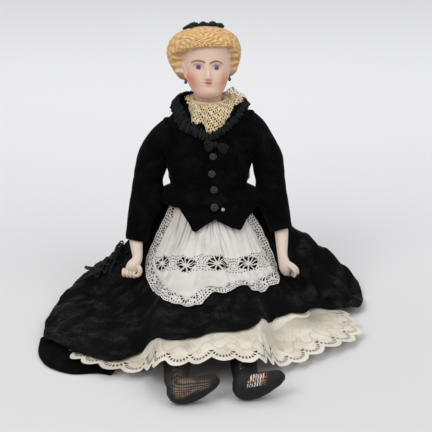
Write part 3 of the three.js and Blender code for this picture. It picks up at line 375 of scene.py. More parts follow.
def cottonFinish(name, light, shade, threads=900.0, specks=None, isPainted=False):
    # cloudy light and shade with a plain weave, and stains or paint where asked for
    finish = Finish(name, Roughness=0.92, Sheen_Weight=0.1, Sheen_Roughness=0.5)
    place = finish.objectPlace()
    tone = finish.blend(finish.ramp(finish.noise(place, 45.0, 4.0, 0.6), 0.35, 0.7), light, shade)
    if specks:
        spots = finish.ramp(finish.noise(place, specks[1], 2.0), 0.62, 0.72)
        tone = finish.blend(finish.maths("MULTIPLY", spots, specks[2]), tone, specks[0])
    if isPainted:
        tone = finish.blend(1.0, tone, finish.painted(), "MULTIPLY")
    finish.colour(tone)
    finish.bump(finish.weave(threads), 0.35, 0.00006)
    return finish.material


cotton = cottonFinish("plainCotton", linear(225, 214, 196), linear(206, 193, 172))
apronCotton = cottonFinish("apronCotton", linear(207, 203, 198), linear(194, 189, 183),
                           specks=(linear(205, 190, 150), 22.0, 0.35), isPainted=True)
petticoatCotton = cottonFinish("petticoatCotton", linear(213, 207, 192), linear(193, 186, 169),
                               isPainted=True)
flannel = cottonFinish("pinkFlannel", linear(168, 112, 96), linear(128, 84, 74), threads=500.0)
tapeCotton = cottonFinish("wovenTape", linear(214, 206, 188), linear(190, 182, 164))
laceCotton = cottonFinish("ecruLace", linear(216, 198, 164), linear(192, 172, 134), threads=1400.0,
                          isPainted=True)


def velvetFinish():
    # near black pile, brushed lighter in cloudy places
    finish = Finish("blackVelvet", Roughness=1.0, Specular_IOR_Level=0.05, Sheen_Weight=0.25,
                    Sheen_Roughness=0.3)
    finish.set(finish.shader, "Sheen_Tint", linear(110, 110, 120))
    place = finish.objectPlace()
    brushed = finish.ramp(finish.noise(place, 60.0, 5.0, 0.65, 0.6), 0.45, 0.75)
    finish.colour(finish.blend(brushed, linear(5, 5, 6), linear(17, 17, 19)))
    finish.bump(finish.noise(place, 2600.0, 2.0), 0.5, 0.0004)
    return finish.material


def silkFinish():
    # flowers and leaves in gloss on a dull ribbed ground
    finish = Finish("figuredSilk", Specular_IOR_Level=0.07)
    place = finish.flatPlace()
    warp = finish.add("TexNoise", Vector=place, Scale=60.0, Detail=3.0).outputs["Color"]
    moved = finish.add("VectorMath", {"operation": "MULTIPLY_ADD"},
                       _0=warp, _1=(0.02, 0.02, 0.0), _2=place).outputs[0]
    cells = finish.add("TexVoronoi", {"feature": "F1"},
                       Vector=moved, Scale=62.0, Randomness=0.9).outputs["Distance"]
    petals = finish.add("TexVoronoi", {"feature": "DISTANCE_TO_EDGE"},
                        Vector=moved, Scale=260.0).outputs["Distance"]
    bloom = finish.maths("MULTIPLY", finish.ramp(cells, 0.62, 0.3), finish.ramp(petals, 0.0, 0.14))
    worn = finish.ramp(finish.noise(finish.objectPlace(), 90.0, 6.0, 0.7), 0.38, 0.64)
    figured = finish.maths("MULTIPLY", bloom, finish.maths("MULTIPLY_ADD", worn, 0.85, 0.15))
    finish.colour(finish.blend(figured, linear(2, 2, 3), linear(30, 30, 32)))
    gloss = finish.add("MapRange", Value=bloom, To_Min=0.75, To_Max=0.55)
    finish.set(finish.shader, "Roughness", gloss.outputs[0])
    split = finish.add("SeparateXYZ", Vector=place)
    ribs = finish.maths("SINE", finish.maths("MULTIPLY", split.outputs[1], 2 * math.pi * 1300))
    finish.bump(finish.maths("MULTIPLY_ADD", bloom, 3.0, ribs), 0.3, 0.00006)
    return finish.material


def ribbonFinish(name, dark, light):
    # two tones of silk in fine clouds, with a slight grain
    finish = Finish(name, Roughness=0.6, Specular_IOR_Level=0.16)
    place = finish.objectPlace()
    finish.colour(finish.blend(finish.noise(place, 260.0, 3.0), dark, light))
    finish.bump(finish.noise(place, 1500.0, 3.0), 0.4, 0.0002)
    return finish.material


def netFinish():
    # fine diamond net: the painted colour of what lies beneath shows through its gaps
    finish = Finish("blackNet", Roughness=0.7, Specular_IOR_Level=0.3)
    split = finish.add("SeparateXYZ", Vector=finish.flatPlace())
    slopes = [finish.maths(way, split.outputs[0], split.outputs[1]) for way in ("ADD", "SUBTRACT")]
    waves = [finish.maths("SINE", finish.maths("MULTIPLY", slope, 2 * math.pi * 330)) for slope in slopes]
    gaps = finish.ramp(finish.maths("MULTIPLY", waves[0], waves[1]), -0.5, 0.7)
    worn = finish.ramp(finish.noise(finish.objectPlace(), 160.0, 3.0), 0.36, 0.6)
    shown = finish.maths("MULTIPLY", gaps, finish.maths("MULTIPLY_ADD", worn, 0.6, 0.4))
    bright = finish.ramp(finish.add("SeparateColor", Color=finish.painted()).outputs[0], 0.36, 0.5)
    shown = finish.maths("MAXIMUM", shown, bright)
    finish.colour(finish.blend(shown, linear(16, 14, 14), finish.painted()))
    return finish.material


def glassFinish(name, colour, roughness=0.12):
    # glass with faint clouds up to 1.8 times as bright
    finish = Finish(name, Roughness=roughness, Specular_IOR_Level=0.6)
    cloud = finish.noise(finish.objectPlace(), 700.0, 2.0)
    finish.colour(finish.blend(cloud, colour, tuple(min(1.0, c * 1.8) for c in colour[:3]) + (1.0,)))
    return finish.material


def bisqueFinish():
    # fired and painted: the paint is on the points, with fine kiln specks and a soft grain
    finish = Finish("paintedBisque", Roughness=0.46, Specular_IOR_Level=0.4)
    place = finish.objectPlace()
    specks = finish.ramp(finish.noise(place, 420.0, 3.0), 0.7, 0.78)
    finish.colour(finish.blend(finish.maths("MULTIPLY", specks, 0.1), finish.painted(), linear(120, 95, 80)))
    finish.bump(finish.noise(place, 1500.0, 3.0), 0.1, 0.0002)
    return finish.material


velvet = velvetFinish()
silk = silkFinish()
ribbon = ribbonFinish("ruchedRibbon", linear(5, 6, 7), linear(19, 21, 22))
hairBand = ribbonFinish("hairRibbonSilk", linear(6, 10, 10), linear(26, 35, 33))
fringeCord = ribbonFinish("fringeCord", linear(8, 8, 9), linear(26, 26, 28))
net = netFinish()
jet = glassFinish("jetGlass", linear(13, 14, 15), 0.4)
pearl = glassFinish("pearl", linear(128, 126, 120), 0.3)
blueBead = glassFinish("blueBead", linear(52, 64, 84), 0.15)
bisque = bisqueFinish()
print("materials made")


# The figure: the same sizes as the frame, in millimetres.

figure = {
    "table": [
        [0, 33, 15, 11], [18, 40, 29, 7], [38, 40, 29, 3], [62, 37, 27, 1], [100, 34.5, 22.5, 0],
        [120, 33, 21, 0], [136, 35.5, 22.5, 0], [150, 36, 23, 0], [160, 38, 24, 0], [176, 38, 23, 0],
        [184, 36, 20, 0], [190, 29, 16, 0.5], [196, 20, 13.5, 1], [203, 13.5, 12.7, 1],
    ],
    "squareness": 0.85,
}


def bodyPoint(turn, wide, deep, centreY, height):
    # an oval flatter at its sides than an ellipse; the turn runs from the front towards +X
    s, c = np.sin(turn), np.cos(turn)
    p = figure["squareness"]
    x = wide * np.sign(s) * np.abs(s) ** p
    y = centreY - deep * np.sign(c) * np.abs(c) ** p
    return gridOf(x, y, height).astype(float)


def figurePoint(turn, height, offset):
    # a point on the figure or at a distance outside it
    wide, deep, centreY = along(figure["table"], height)
    return bodyPoint(turn, wide + offset, deep + offset, centreY, height)


# Skirts: all of them lie on one base surface, so that they nest.

skirts = {
    "waistHeight": 100,
    "waistGap": 2.6,
    "floorRise": 1.6,
    "lapHeight": 41,
    "foldDepth": 2.2,
    "lean": 62,
    "hem": [
        [0, 128], [-70, 112], [-120, 65], [-139, 10], [-150, -20], [-153, -45], [-158, -88], [-154, -121],
        [-137, -142], [-117, -161], [-96, -178], [-80, -178], [-66, -164], [-57, -158], [-40, -186],
        [-26, -186], [-12, -180], [0, -172], [12, -171], [24, -173], [36, -170], [45, -157], [51, -141],
        [56, -125], [59, -111], [64, -102], [78, -94], [92, -83], [102, -69], [109, -63], [123, -60],
        [138, -56], [150, -46], [155, -15], [150, 30], [120, 80], [70, 115],
    ],
    "petticoatHem": [
        [0, 110], [-55, 98], [-95, 60], [-115, 10], [-125, -30], [-130, -80], [-132, -137], [-124, -170],
        [-104, -187], [-86, -194], [-72, -196], [-58, -200], [-47, -222], [-32, -230], [-16, -226], [0, -219],
        [16, -221], [32, -227], [47, -225], [57, -200], [67, -184], [80, -179], [91, -170], [101, -161],
        [111, -151], [121, -143], [134, -132], [146, -112], [143, -85], [128, -45], [124, -10], [118, 30],
        [95, 72], [50, 100],
    ],
    "fall": [
        [-180, 1.35], [-92, 1.4], [-80, 2.4], [-68, 4.2], [-50, 4.2], [-25, 3.2], [0, 3.0], [45, 2.6],
        [62, 2.9], [75, 2.1], [90, 0.95], [110, 0.95], [180, 1.35],
    ],
    "flannelSetback": 14,
    # how the rows draw together towards the waist, and the columns and rows of each cloth
    "spread": 1.15,
    "grids": {"skirt": (400, 120), "petticoat": (260, 36), "flannel": (300, 60)},
    # millimetres of cloth to a radian round
    "perTurn": {"skirt": 150, "petticoat": 160, "flannel": 140},
    # the tops of the cloths above their layers
    "tops": {"skirt": 1.0, "petticoat": 0.9, "border": 1.3, "flannel": 0.9},
    # degrees from the front, and how far out the apron reaches
    "apronReach": [[-84, 30], [-70, 66], [-30, 108], [0, 124], [30, 104], [72, 60], [84, 30]],
    "facing": [
        [-160, -108, 7.4], [-159, -137, 5.2], [-154, -156, 4.6], [-144, -172, 4.6], [-124, -184, 4.6],
        [-101, -183, 4.6], [-88, -187, 4.6],
    ],
}
layers = {"flannel": 0.0, "petticoat": 1.9, "skirt": 3.8, "over": 5.9}
legs = {
    "right": {"side": -1, "knee": -28, "ankle": -28, "heel": -24, "footY": -241},
    "left": {"side": 1, "knee": 30, "ankle": 33, "heel": 33, "footY": -233},
    "table": [
        [-244, 9.5, 11], [-222, 9.5, 14], [-190, 11, 15], [-157, 13, 16], [-135, 14, 17], [-75, 16.6, 18],
        [-22, 16.6, 18],
    ],
    "spacing": 20, "sag": 3,
}


def outlineRadius(outline):
    # radius of a closed plan outline at an angle, smoothly through its corners
    corners = np.array(outline, float)
    turns = np.arctan2(corners[:, 0], -corners[:, 1])
    radii = np.hypot(corners[:, 0], corners[:, 1])
    order = np.argsort(turns)
    turns, radii = turns[order], radii[order]
    lap = 2 * np.pi
    turns = np.concatenate([turns[-3:] - lap, turns, turns[:3] + lap])
    radii = np.concatenate([radii[-3:], radii, radii[:3]])

    def radius(turn):
        # a cubic curve between the two corners beside the turn
        turn = np.asarray(turn, float)
        k = np.searchsorted(turns, turn, side="right")
        t0, t1, t2, t3 = [turns[k + i] for i in (-2, -1, 0, 1)]
        r0, r1, r2, r3 = [radii[k + i] for i in (-2, -1, 0, 1)]
        t = (turn - t1) / (t2 - t1)
        m1 = (r2 - r0) / (t2 - t0) * (t2 - t1) * 0.7
        m2 = (r3 - r1) / (t3 - t1) * (t2 - t1) * 0.7
        held = (2 * t ** 3 - 3 * t ** 2 + 1) * r1 + (3 * t ** 2 - 2 * t ** 3) * r2
        return held + (t ** 3 - 2 * t ** 2 + t) * m1 + (t ** 3 - t ** 2) * m2

    return radius


skirtRadius = outlineRadius(skirts["hem"])
petticoatRadius = outlineRadius(skirts["petticoatHem"])


def flannelRadius(turn):
    # set back from the hems of both cloths over it
    return np.minimum(petticoatRadius(turn) - skirts["flannelSetback"], skirtRadius(turn) - 8)


def legCentreX(leg, y):
    # the middle of a leg, straight between hip, knee, ankle and heel
    table = [
        [-244, leg["heel"]], [-222, leg["ankle"]], [-135, leg["knee"]], [-22, leg["side"] * legs["spacing"]],
    ]
    return along(table, y)[0]


def legRidge(x, y):
    # the height that the legs lift the cloth to, which sags a little between them
    radius, centre = along(legs["table"], y)
    left, right = legCentreX(legs["left"], y), legCentreX(legs["right"], y)
    middle, half = (left + right) / 2, (left - right) / 2
    reach = np.maximum(np.abs(x - middle) - half, 0)
    side = 1 - smooth(0, 1, (reach - radius - 2) / 22)
    sag = legs["sag"] * np.clip(1 - ((x - middle) / half) ** 2, 0, 1)
    return (centre + radius + 2.4 - sag) * side * smooth(-250, -232, y)


def waistRadius(turn):
    # the figure's oval at the waist and a gap, as a distance from the axis
    wide, deep, _ = along(figure["table"], skirts["waistHeight"])
    power = 2 / figure["squareness"]
    gap = skirts["waistGap"]
    across = np.abs(np.sin(turn) / (wide + gap)) ** power + np.abs(np.cos(turn) / (deep + gap)) ** power
    return across ** (-1 / power)


def fineFolds(turn, out):
    # gathers that run down from the waist and soften into broad creases towards the hem
    gathers = 0.55 * np.sin(turn * 37 + 1.2 * np.sin(turn * 5)) + 0.4 * np.sin(turn * 61 + 2.0)
    creases = np.sin(turn * 20 + 0.5 * np.sin(turn * 3 + 1) + 0.3 * np.sin(out * 6))
    side = mix(0.9, 2.1, smooth(1.0, 1.5, np.abs(turn)))
    soft = 1 - 0.75 * smooth(0.2, 0.8, out)
    return gathers * smooth(0, 0.06, out) * soft + side * creases * smooth(0.25, 0.7, out)


def basePoint(turn, radius):
    # the skirts' shared base: a cone that falls from the waist, lifted over the legs, with ripples
    start = waistRadius(turn)
    outer = np.maximum(skirtRadius(turn), petticoatRadius(turn))
    x, y = radius * np.sin(turn), -radius * np.cos(turn)
    out = np.clip((radius - start) / (outer - start), 0, 1)
    fall = along(skirts["fall"], np.degrees(turn))[0]
    cone = (skirts["waistHeight"] - skirts["floorRise"]) * (1 - out) ** fall
    lap = skirts["lapHeight"] * smooth(-150, -105, y) * (1 - smooth(34, 66, np.abs(x)))
    ahead = 1 - smooth(-34, -6, y)
    ridges = ahead * np.maximum(legRidge(x, y), lap)
    width = 7 * smooth(0.03, 0.2, out)
    raised = np.maximum(0.5 * (cone + ridges + np.sqrt((cone - ridges) ** 2 + width ** 2)) - width / 9, 0)
    ripple = 1 + 0.6 * np.sin(turn * 11 + 0.6) + 0.4 * np.sin(turn * 17 + 2.1 + out * 2)
    folds = skirts["foldDepth"] * ripple * smooth(0.08, 0.5, out) * smooth(0, 12, raised + 4)
    fine = fineFolds(turn, out) * smooth(0, 10, raised + 2)
    return np.stack([x, y, skirts["floorRise"] + raised + folds + fine], -1)


def onBase(turn, radius, offset, drop=0.0):
    # a place offset from the base: outward at the waist, upward below it
    turn, radius = np.broadcast_arrays(turn, radius)
    past = radius - waistRadius(turn)
    lean = np.radians(mix(skirts["lean"], 0, smooth(0, 60, past)))
    stack = np.stack([np.sin(turn) * np.sin(lean), -np.cos(turn) * np.sin(lean), np.cos(lean)], -1)
    tight = mix(0.55, 1, smooth(0, 14, past))
    points = basePoint(turn, radius) + stack * (offset * tight)[..., None]
    points[..., 2] -= drop
    return points


def lengthsDown(points):
    # distance down each column of a grid
    steps = np.linalg.norm(np.diff(points, axis=0), axis=-1)
    return np.concatenate([np.zeros((1, points.shape[1])), np.cumsum(steps, 0)])


def flatUv(points, around):
    # flat coordinates in metres of a grid that closes round: a place across, and the distance down the cloth
    step = around[:, -1:] - around[:, :1] + around[:, 1:2] - around[:, :1]
    around, down = closeRound(around, step), closeRound(lengthsDown(points))
    return gridOf(around, down) * mm


def skirtGrid(hem, size, offset, dropAt=None):
    # one cloth of the skirts from the waist to its hem: turns, distances from the axis and points
    columns, rows = size
    turn = turnsRound(columns, -np.pi)
    share = np.linspace(0, 1, rows)[:, None] ** skirts["spread"]
    radius = mix(waistRadius(turn), hem(turn), share)
    turn = np.broadcast_to(turn, radius.shape)
    drop = 0.0 if dropAt is None else dropAt(turn, radius)
    return turn, radius, onBase(turn, radius, offset + 0 * radius, drop)


def apronLimit(turn):
    # how far out the apron reaches: the silk beneath it lies smooth
    return along(skirts["apronReach"], np.degrees(turn))[0]


def skirtDrop(turn, radius):
    # past the petticoat's hem the silk sinks to the floor
    return (layers["skirt"] + skirts["floorRise"] - 0.5) * smooth(8, 30, radius - petticoatRadius(turn))


def crumple(x, y, turn, radius):
    # soft creases in every direction, and rounder heaped folds on the doll's left
    small = np.sin(x * 0.21 + 2.2 * np.sin(y * 0.06 + 1)) * np.sin(y * 0.17 + 1.8 * np.sin(x * 0.08))
    bend = 2 * np.sin(y * 0.11)
    fine = np.sin(x * 0.47 + y * 0.2 + bend) * np.sin(y * 0.39 - x * 0.12 + 1.5 * np.sin(x * 0.13))
    place = radius / 9.5 + 1.5 * np.sin(turn * 5) + 0.8 * np.sin(turn * 11 + radius * 0.05)
    inside = smooth(0, 12, skirtRadius(turn) - radius)
    heap = bell(np.degrees(turn), 78, 27) * smooth(84, 102, radius) * inside
    side = bell(np.degrees(turn), -70, 26) * smooth(70, 95, radius)
    rolls = np.abs(np.sin(place)) ** 0.7
    return 0.9 * small + 0.45 * fine + heap * (7.5 * rolls - 2.0) + side * 1.1 * np.sin(place * 0.8 + 1)


def makeSkirt():
    # a turned-up hem shows as a slight ridge a little inside the edge
    top = layers["skirt"] + skirts["tops"]["skirt"]
    turn, radius, points = skirtGrid(skirtRadius, skirts["grids"]["skirt"], top, dropAt=skirtDrop)
    points[..., 2] += 0.35 * bell(skirtRadius(turn) - radius, 9, 1.4)
    apart = smooth(0, 22, radius - apronLimit(turn))
    points[..., 2] += apart * (1 + crumple(points[..., 0], points[..., 1], turn, radius))
    uv = flatUv(points, turn[:1] * skirts["perTurn"]["skirt"])
    piece = makePiece("silkSkirt", [patch(points, True, True, uv=uv)], [silk],
                      stands=["skirt"], thickness=0.6)


eyelets = {
    "scallop": 22.0, "depth": 4.4, "round": 16.8, "slits": 0.27, "wave": 28.0, "width": 60.0, "step": 0.72,
    "slope": 0.62,
}


def borderOf(points, e, d):
    # eyelet embroidery: scallops with fans of slits, a waving satin line with lozenges,
    # and a finer line above
    d = d * eyelets["slope"]
    half = eyelets["scallop"] / 2
    local = (e / eyelets["scallop"] + 0.5) % 1 * eyelets["scallop"] - half
    outline = d - eyelets["depth"] * (local / half) ** 2 - 0.35 * np.abs(np.sin(np.pi * e / 2.2))
    away = np.hypot(local, eyelets["round"] - d)
    angle = np.arctan2(local, eyelets["round"] - d)
    across = away * np.abs((angle / eyelets["slits"] + 0.5) % 1 - 0.5) * eyelets["slits"]
    slit = np.minimum(np.minimum(away - 10.2, 12.8 - away), 0.62 + 0.08 * (away - 11.5) - across)
    slit = np.where(np.abs(angle) < eyelets["slits"] * 4.5, slit, -1)
    wave = np.abs(d - 17.5 - 4.2 * np.sin(2 * np.pi * e / eyelets["wave"]))
    bend = (e / eyelets["wave"] + 0.25) % 0.5 * eyelets["wave"] - eyelets["wave"] / 4
    upper = (e / eyelets["wave"] + 0.25) % 1 < 0.5
    lozenge = np.abs(bend) + np.abs(d - np.where(upper, 13.6, 21.4))
    leaves = 0.8 * bell(np.maximum(lozenge - 3.0, 0) + 0.9 * (np.abs(lozenge - 1.4) < 0.5), 0, 0.7)
    finer = 0.6 * bell(np.abs(d - 27.5 - 2.2 * np.sin(2 * np.pi * e / 14)), 0, 0.6)
    stitched = np.max([bell(wave, 0, 0.7), leaves, finer], 0)
    points[..., 2] += 0.25 * bell(away, 13.4, 0.6) + 0.4 * stitched
    paint = 1 - stitched[..., None] * np.array([0.26, 0.28, 0.32])
    # the cloth round each slit is darkened as painted shade in the holes
    paint = paint * (1 - 0.45 * bell(slit, 0.1, 0.4)[..., None])
    return paint, np.minimum(outline, -slit)


def makePetticoat():
    # plain rows down to the border, and the border cut along its scallops
    top = layers["petticoat"] + skirts["tops"]["petticoat"]
    size = skirts["grids"]["petticoat"]
    turn, radius, points = skirtGrid(lambda t: petticoatRadius(t) - 26, size, top)
    main = patch(points, True, True, uv=flatUv(points, turn[:1] * skirts["perTurn"]["petticoat"]))
    # the border: columns at even lengths along the hem, rows close together in the eyelets
    fine = np.linspace(-np.pi, np.pi, 3000)
    edge = onBase(fine, petticoatRadius(fine), top + 0 * fine)
    length = np.concatenate([[0], np.cumsum(np.linalg.norm(np.diff(edge, axis=0), axis=1))])
    stretch = round(length[-1] / eyelets["scallop"]) * eyelets["scallop"] / length[-1]
    place = np.linspace(0, length[-1], int(length[-1] / eyelets["step"]))[None, :]
    inside = np.concatenate([np.arange(-0.6, 24, 0.62), np.linspace(24, eyelets["width"], 20)])[:, None]
    turn = np.interp(place, length, fine)
    radius = petticoatRadius(turn) - inside
    points = onBase(turn, radius, layers["petticoat"] + skirts["tops"]["border"] + 0 * radius)
    e, d = np.broadcast_arrays(place * stretch, inside)
    paint, keep = borderOf(points, e, d)
    # painted shade on the petticoat just beyond the skirt's hem, deepest on the doll's left, where the skirt
    # shades it
    beyond = radius - skirtRadius(turn)
    under = (0.16 + 0.4 * bell(np.degrees(turn), 50, 14)) * smooth(32, 4, beyond)
    paint = paint * (1 - under[..., None] * np.array([1, 1, 1.06]))
    border = patch(points, uv=np.stack([e, d], -1) * mm, paint=paint, keep=keep)
    piece = makePiece("eyeletPetticoat", [main, border], [petticoatCotton], stands=["petticoat"])


def makeFlannel():
    # the innermost cloth, one grid from waist to hem
    top = layers["flannel"] + skirts["tops"]["flannel"]
    turn, radius, points = skirtGrid(flannelRadius, skirts["grids"]["flannel"], top)
    uv = flatUv(points, turn[:1] * skirts["perTurn"]["flannel"])
    piece = makePiece("flannelPetticoat", [patch(points, True, True, uv=uv)], [flannel],
                      stands=["flannel_petticoat"], thickness=0.9)


def makeFacing():
    # a strip along its outer edge, rising as it runs in under the skirt
    edge = smoothPath(skirts["facing"], 90)
    share = np.linspace(0, 1, 20)[:, None]
    scale = 1 - share * 32 / np.hypot(edge[:, 0], edge[:, 1])[None]
    wave = 0.3 * np.sin(np.linspace(0, 26, 90))[None] * np.sin(share * 3.1)
    height = 1.85 + share * edge[None, :, 2] + wave
    points = np.stack([edge[None, :, 0] * scale, edge[None, :, 1] * scale, height], -1)
    uv = gridOf(np.linspace(0, 0.14, 90)[None], share * 0.032)
    piece = makePiece("hemFacing", [patch(points, uv=uv)], [velvet], stands=["skirt_facing"],
                      thickness=0.7)


makeFlannel()
makePetticoat()
makeSkirt()
makeFacing()
print("skirts made")


# Apron: gathered cotton with a band of cutwork and a lace border.

apron = {
    "edge": [
        [-78, 30], [-75, 34], [-74, 46], [-73, 60], [-70, 63.5], [-64, 67], [-58, 71.5], [-52, 75.5],
        [-46, 79.5], [-40, 84.5], [-34, 92], [-31, 98], [-28, 105.5], [-25, 113.5], [-22, 120],
        [-16, 125.5], [-7, 126.5], [-4, 121], [-1, 116.5], [2, 111], [11, 112], [14, 105], [17, 101.5],
        [23, 99.5], [26, 103], [29, 101.5], [32, 97], [38, 91.5], [50, 89], [56, 84], [62, 75], [68, 69.5],
        [70, 58], [72, 44], [73, 34], [76, 30],
    ],
    "band": [
        [-80, 62], [-55, 62.4], [-45, 60], [-35, 61.8], [-20, 62.4], [-10, 62.6], [0, 62], [10, 64.4],
        [20, 64.8], [30, 65.4], [40, 66.4], [50, 67], [60, 66.4], [80, 66],
    ],
    "stars": [-71.2, -45.6, -20, 7.5, 34.4, 61.5],
    "creases": [-47, -36, -31, -25, -17, -12, -4, -1, 5, 8.5, 13, 17, 24, 31, 36, 44],
    "lace": 13.5, "bandHalf": 7.4, "picot": 2.9, "motif": 20.0, "repeat": 27.8,
    "from": -77, "to": 75, "columns": 520, "rows": 180,
}


def wheel(x, y, inner, outer, spokes, thread):
    # an open wheel: below zero in the gaps between its spokes
    away = np.hypot(x, y)
    beside = away * np.abs((np.arctan2(y, x) * spokes / (2 * np.pi) + 0.5) % 1 - 0.5) * 2 * np.pi / spokes
    return -np.minimum(np.minimum(away - inner, outer - away), beside - thread)


def dots(x, y, spacing, radius, shift=0.0):
    # a row of round holes along x, at y = 0: below zero in the holes
    return np.hypot((x / spacing + shift) % 1 * spacing - spacing / 2, y) - radius


def apronEdge(turn):
    # its table of distances, never within the waist
    return np.maximum(along(apron["edge"], np.degrees(turn))[0], waistRadius(turn) + 0.5)


def borderHoles(e, inward):
    # two rows of round holes, fans of slits on the tape, and a row of small holes beside it
    holes = np.minimum(dots(e, inward - 2.3, apron["picot"], 0.82), dots(e, inward - 4.9, 3.3, 0.95, 0.5))
    fanPlace = (e / apron["motif"] + 0.35) % 1 * apron["motif"] - apron["motif"] / 2
    beside = np.abs(fanPlace) > 6.6
    holes = np.minimum(holes, np.where(beside, dots(e, inward - 7.7, 2.9, 0.72), 1))
    holes = np.minimum(holes, np.where(beside, dots(e, inward - 10.3, 3.2, 0.85, 0.5), 1))
    fan = np.where((inward < 11.6) & (inward > 6.2), wheel(fanPlace, inward - 12.4, 1.5, 6.0, 12, 0.5), 1)
    return np.where(inward > apron["lace"] + 0.8, 1, np.minimum(holes, fan))


def bandHoles(s, across, roseX):
    # open wheels and solid rosettes in turn, with a row of holes along each side of the band
    half, repeat = apron["bandHalf"], apron["repeat"]
    starX = (s / repeat + 0.5) % 1 * repeat - repeat / 2
    star = np.where(np.abs(starX) < 9.6, wheel(starX * 0.78, across, 1.3, 6.8, 10, 0.5), 1)
    rose = np.minimum(wheel(roseX, across, 4.4, 5.2, 12, 0.45), wheel(roseX, across, 2.0, 2.7, 7, 0.4))
    rose = np.where(np.abs(roseX) < 6, rose, 1)
    sides = np.minimum(dots(s, across - half, 2.4, 0.62), dots(s, across + half, 2.4, 0.62, 0.5))
    sides = np.minimum(sides, np.where(np.abs(starX) > 8.4, dots(s, across - half + 2.4, 2.4, 0.5, 0.5), 1))
    return np.min([star, rose, sides], 0)


def makeApron():
    # a fan of rows down the silk, cut at its edge and holes, with gathers and creases
    turns = np.radians(np.linspace(apron["from"], apron["to"], apron["columns"]))
    fine = np.radians(np.linspace(apron["from"], apron["to"], 1500))
    over = layers["over"] + 0.8
    edge = onBase(fine, apronEdge(fine), over + 0 * fine)
    kernel = np.ones(25) / 25
    edge = [np.convolve(np.pad(edge[:, k], 12, mode="edge"), kernel, "valid") for k in range(3)]
    edge = np.stack(edge, -1)[::3]
    reach = np.maximum(apronEdge(turns), 50) + 1.5
    reach = np.max([np.roll(reach, k) for k in (-8, -4, 0, 4, 8)], 0)[None, :]
    share = np.linspace(0, 1, apron["rows"])[:, None] ** 1.05
    radius = mix(waistRadius(turns)[None, :], reach, share)
    turn = np.broadcast_to(turns[None, :], radius.shape)
    flat = onBase(turn, radius, over + 0 * radius)
    inward, e = nearestOn(edge, flat)
    down, degrees = lengthsDown(flat), np.degrees(turn)
    middle = along(apron["band"], degrees[0])[0]
    middle = np.array([np.interp(*column) for column in zip(middle, radius.T, down.T)])
    across = middle - down
    lace, half, repeat = apron["lace"], apron["bandHalf"], apron["repeat"]
    s = np.interp(np.degrees(turn), apron["stars"], repeat * (np.arange(len(apron["stars"])) - 1.0))
    roseX = (s / repeat) % 1 * repeat - repeat / 2
    inBand = (inward > lace + 1.2) & (np.abs(across) < half + 1)
    picots = 0.55 * (1 - np.abs(np.sin(np.pi * e / apron["picot"])))
    picots = picots + 0.8 * (1 - np.abs(np.sin(np.pi * e / 13)))
    holes = np.where(inBand, bandHoles(s, across, roseX), 1)
    keep = np.min([inward - picots, borderHoles(e, inward), holes], 0)
    # gathers fall from the band at the waist; threads, rosettes and tapes stand up a little
    pleat = np.sin(degrees / 3.1 + 0.8 * np.sin(degrees / 9)) + 0.5 * np.sin(degrees / 1.9 + 1)
    gathers = 0.45 * (pleat + 0.6) * (1 - smooth(8, 46, down)) * smooth(lace - 2, lace + 5, inward)
    bend = 3 * np.sin(down / 17 + degrees / 12)
    creased = sum(bell(degrees + bend, line, 0.75 + 0.012 * down) * (0.7 + 0.3 * math.sin(line * 1.7))
                  for line in apron["creases"])
    creased = creased * (1 - smooth(26, 48, down + 9 * np.sin(degrees / 4)))
    creased = creased * smooth(lace - 1, lace + 6, inward)
    gathers = gathers - 1.5 * creased
    raised = 0.35 * bell(inward, lace, 0.7) + 0.3 * bell(np.abs(across), half + 1.6, 0.6) * (inward > lace)
    raised = raised + np.where(inBand, 0.35 * bell(np.hypot(roseX, across), 3.5, 0.7), 0)
    raised = raised + 0.25 * bell(inward, 1.2, 0.6)
    grain = 0.12 * np.sin(e * 2.1) * np.sin(inward * 2.4) * (inward < lace)
    points = flat + unit(flat * [1, 1, 0] + [0, 0, 60]) * (gathers + raised + grain)[..., None]
    # a little darker on the lace, on the cutwork band and along the lace's inner edge, and darker still in
    # the creases, which is painted shade
    shade = 1 - 0.05 * (inward < lace) - 0.08 * inBand - 0.1 * bell(inward, lace - 1.2, 0.6)
    stain = 0.16 * bell(flat[..., 0], 3, 5) * bell(down, 43, 7)
    shade = shade - 0.34 * np.clip(creased, 0, 1) ** 1.4
    paint = shade[..., None] * (1 - stain[..., None] * np.array([0.25, 0.35, 0.9]))
    uv = gridOf(degrees * 1.1, down) * mm
    piece = makePiece("laceApron", [patch(points, flip=True, uv=uv, paint=paint, keep=keep)], [apronCotton],
                      stands=["apron"])


makeApron()
print("apron made")


# Head, neck and shoulder plate.

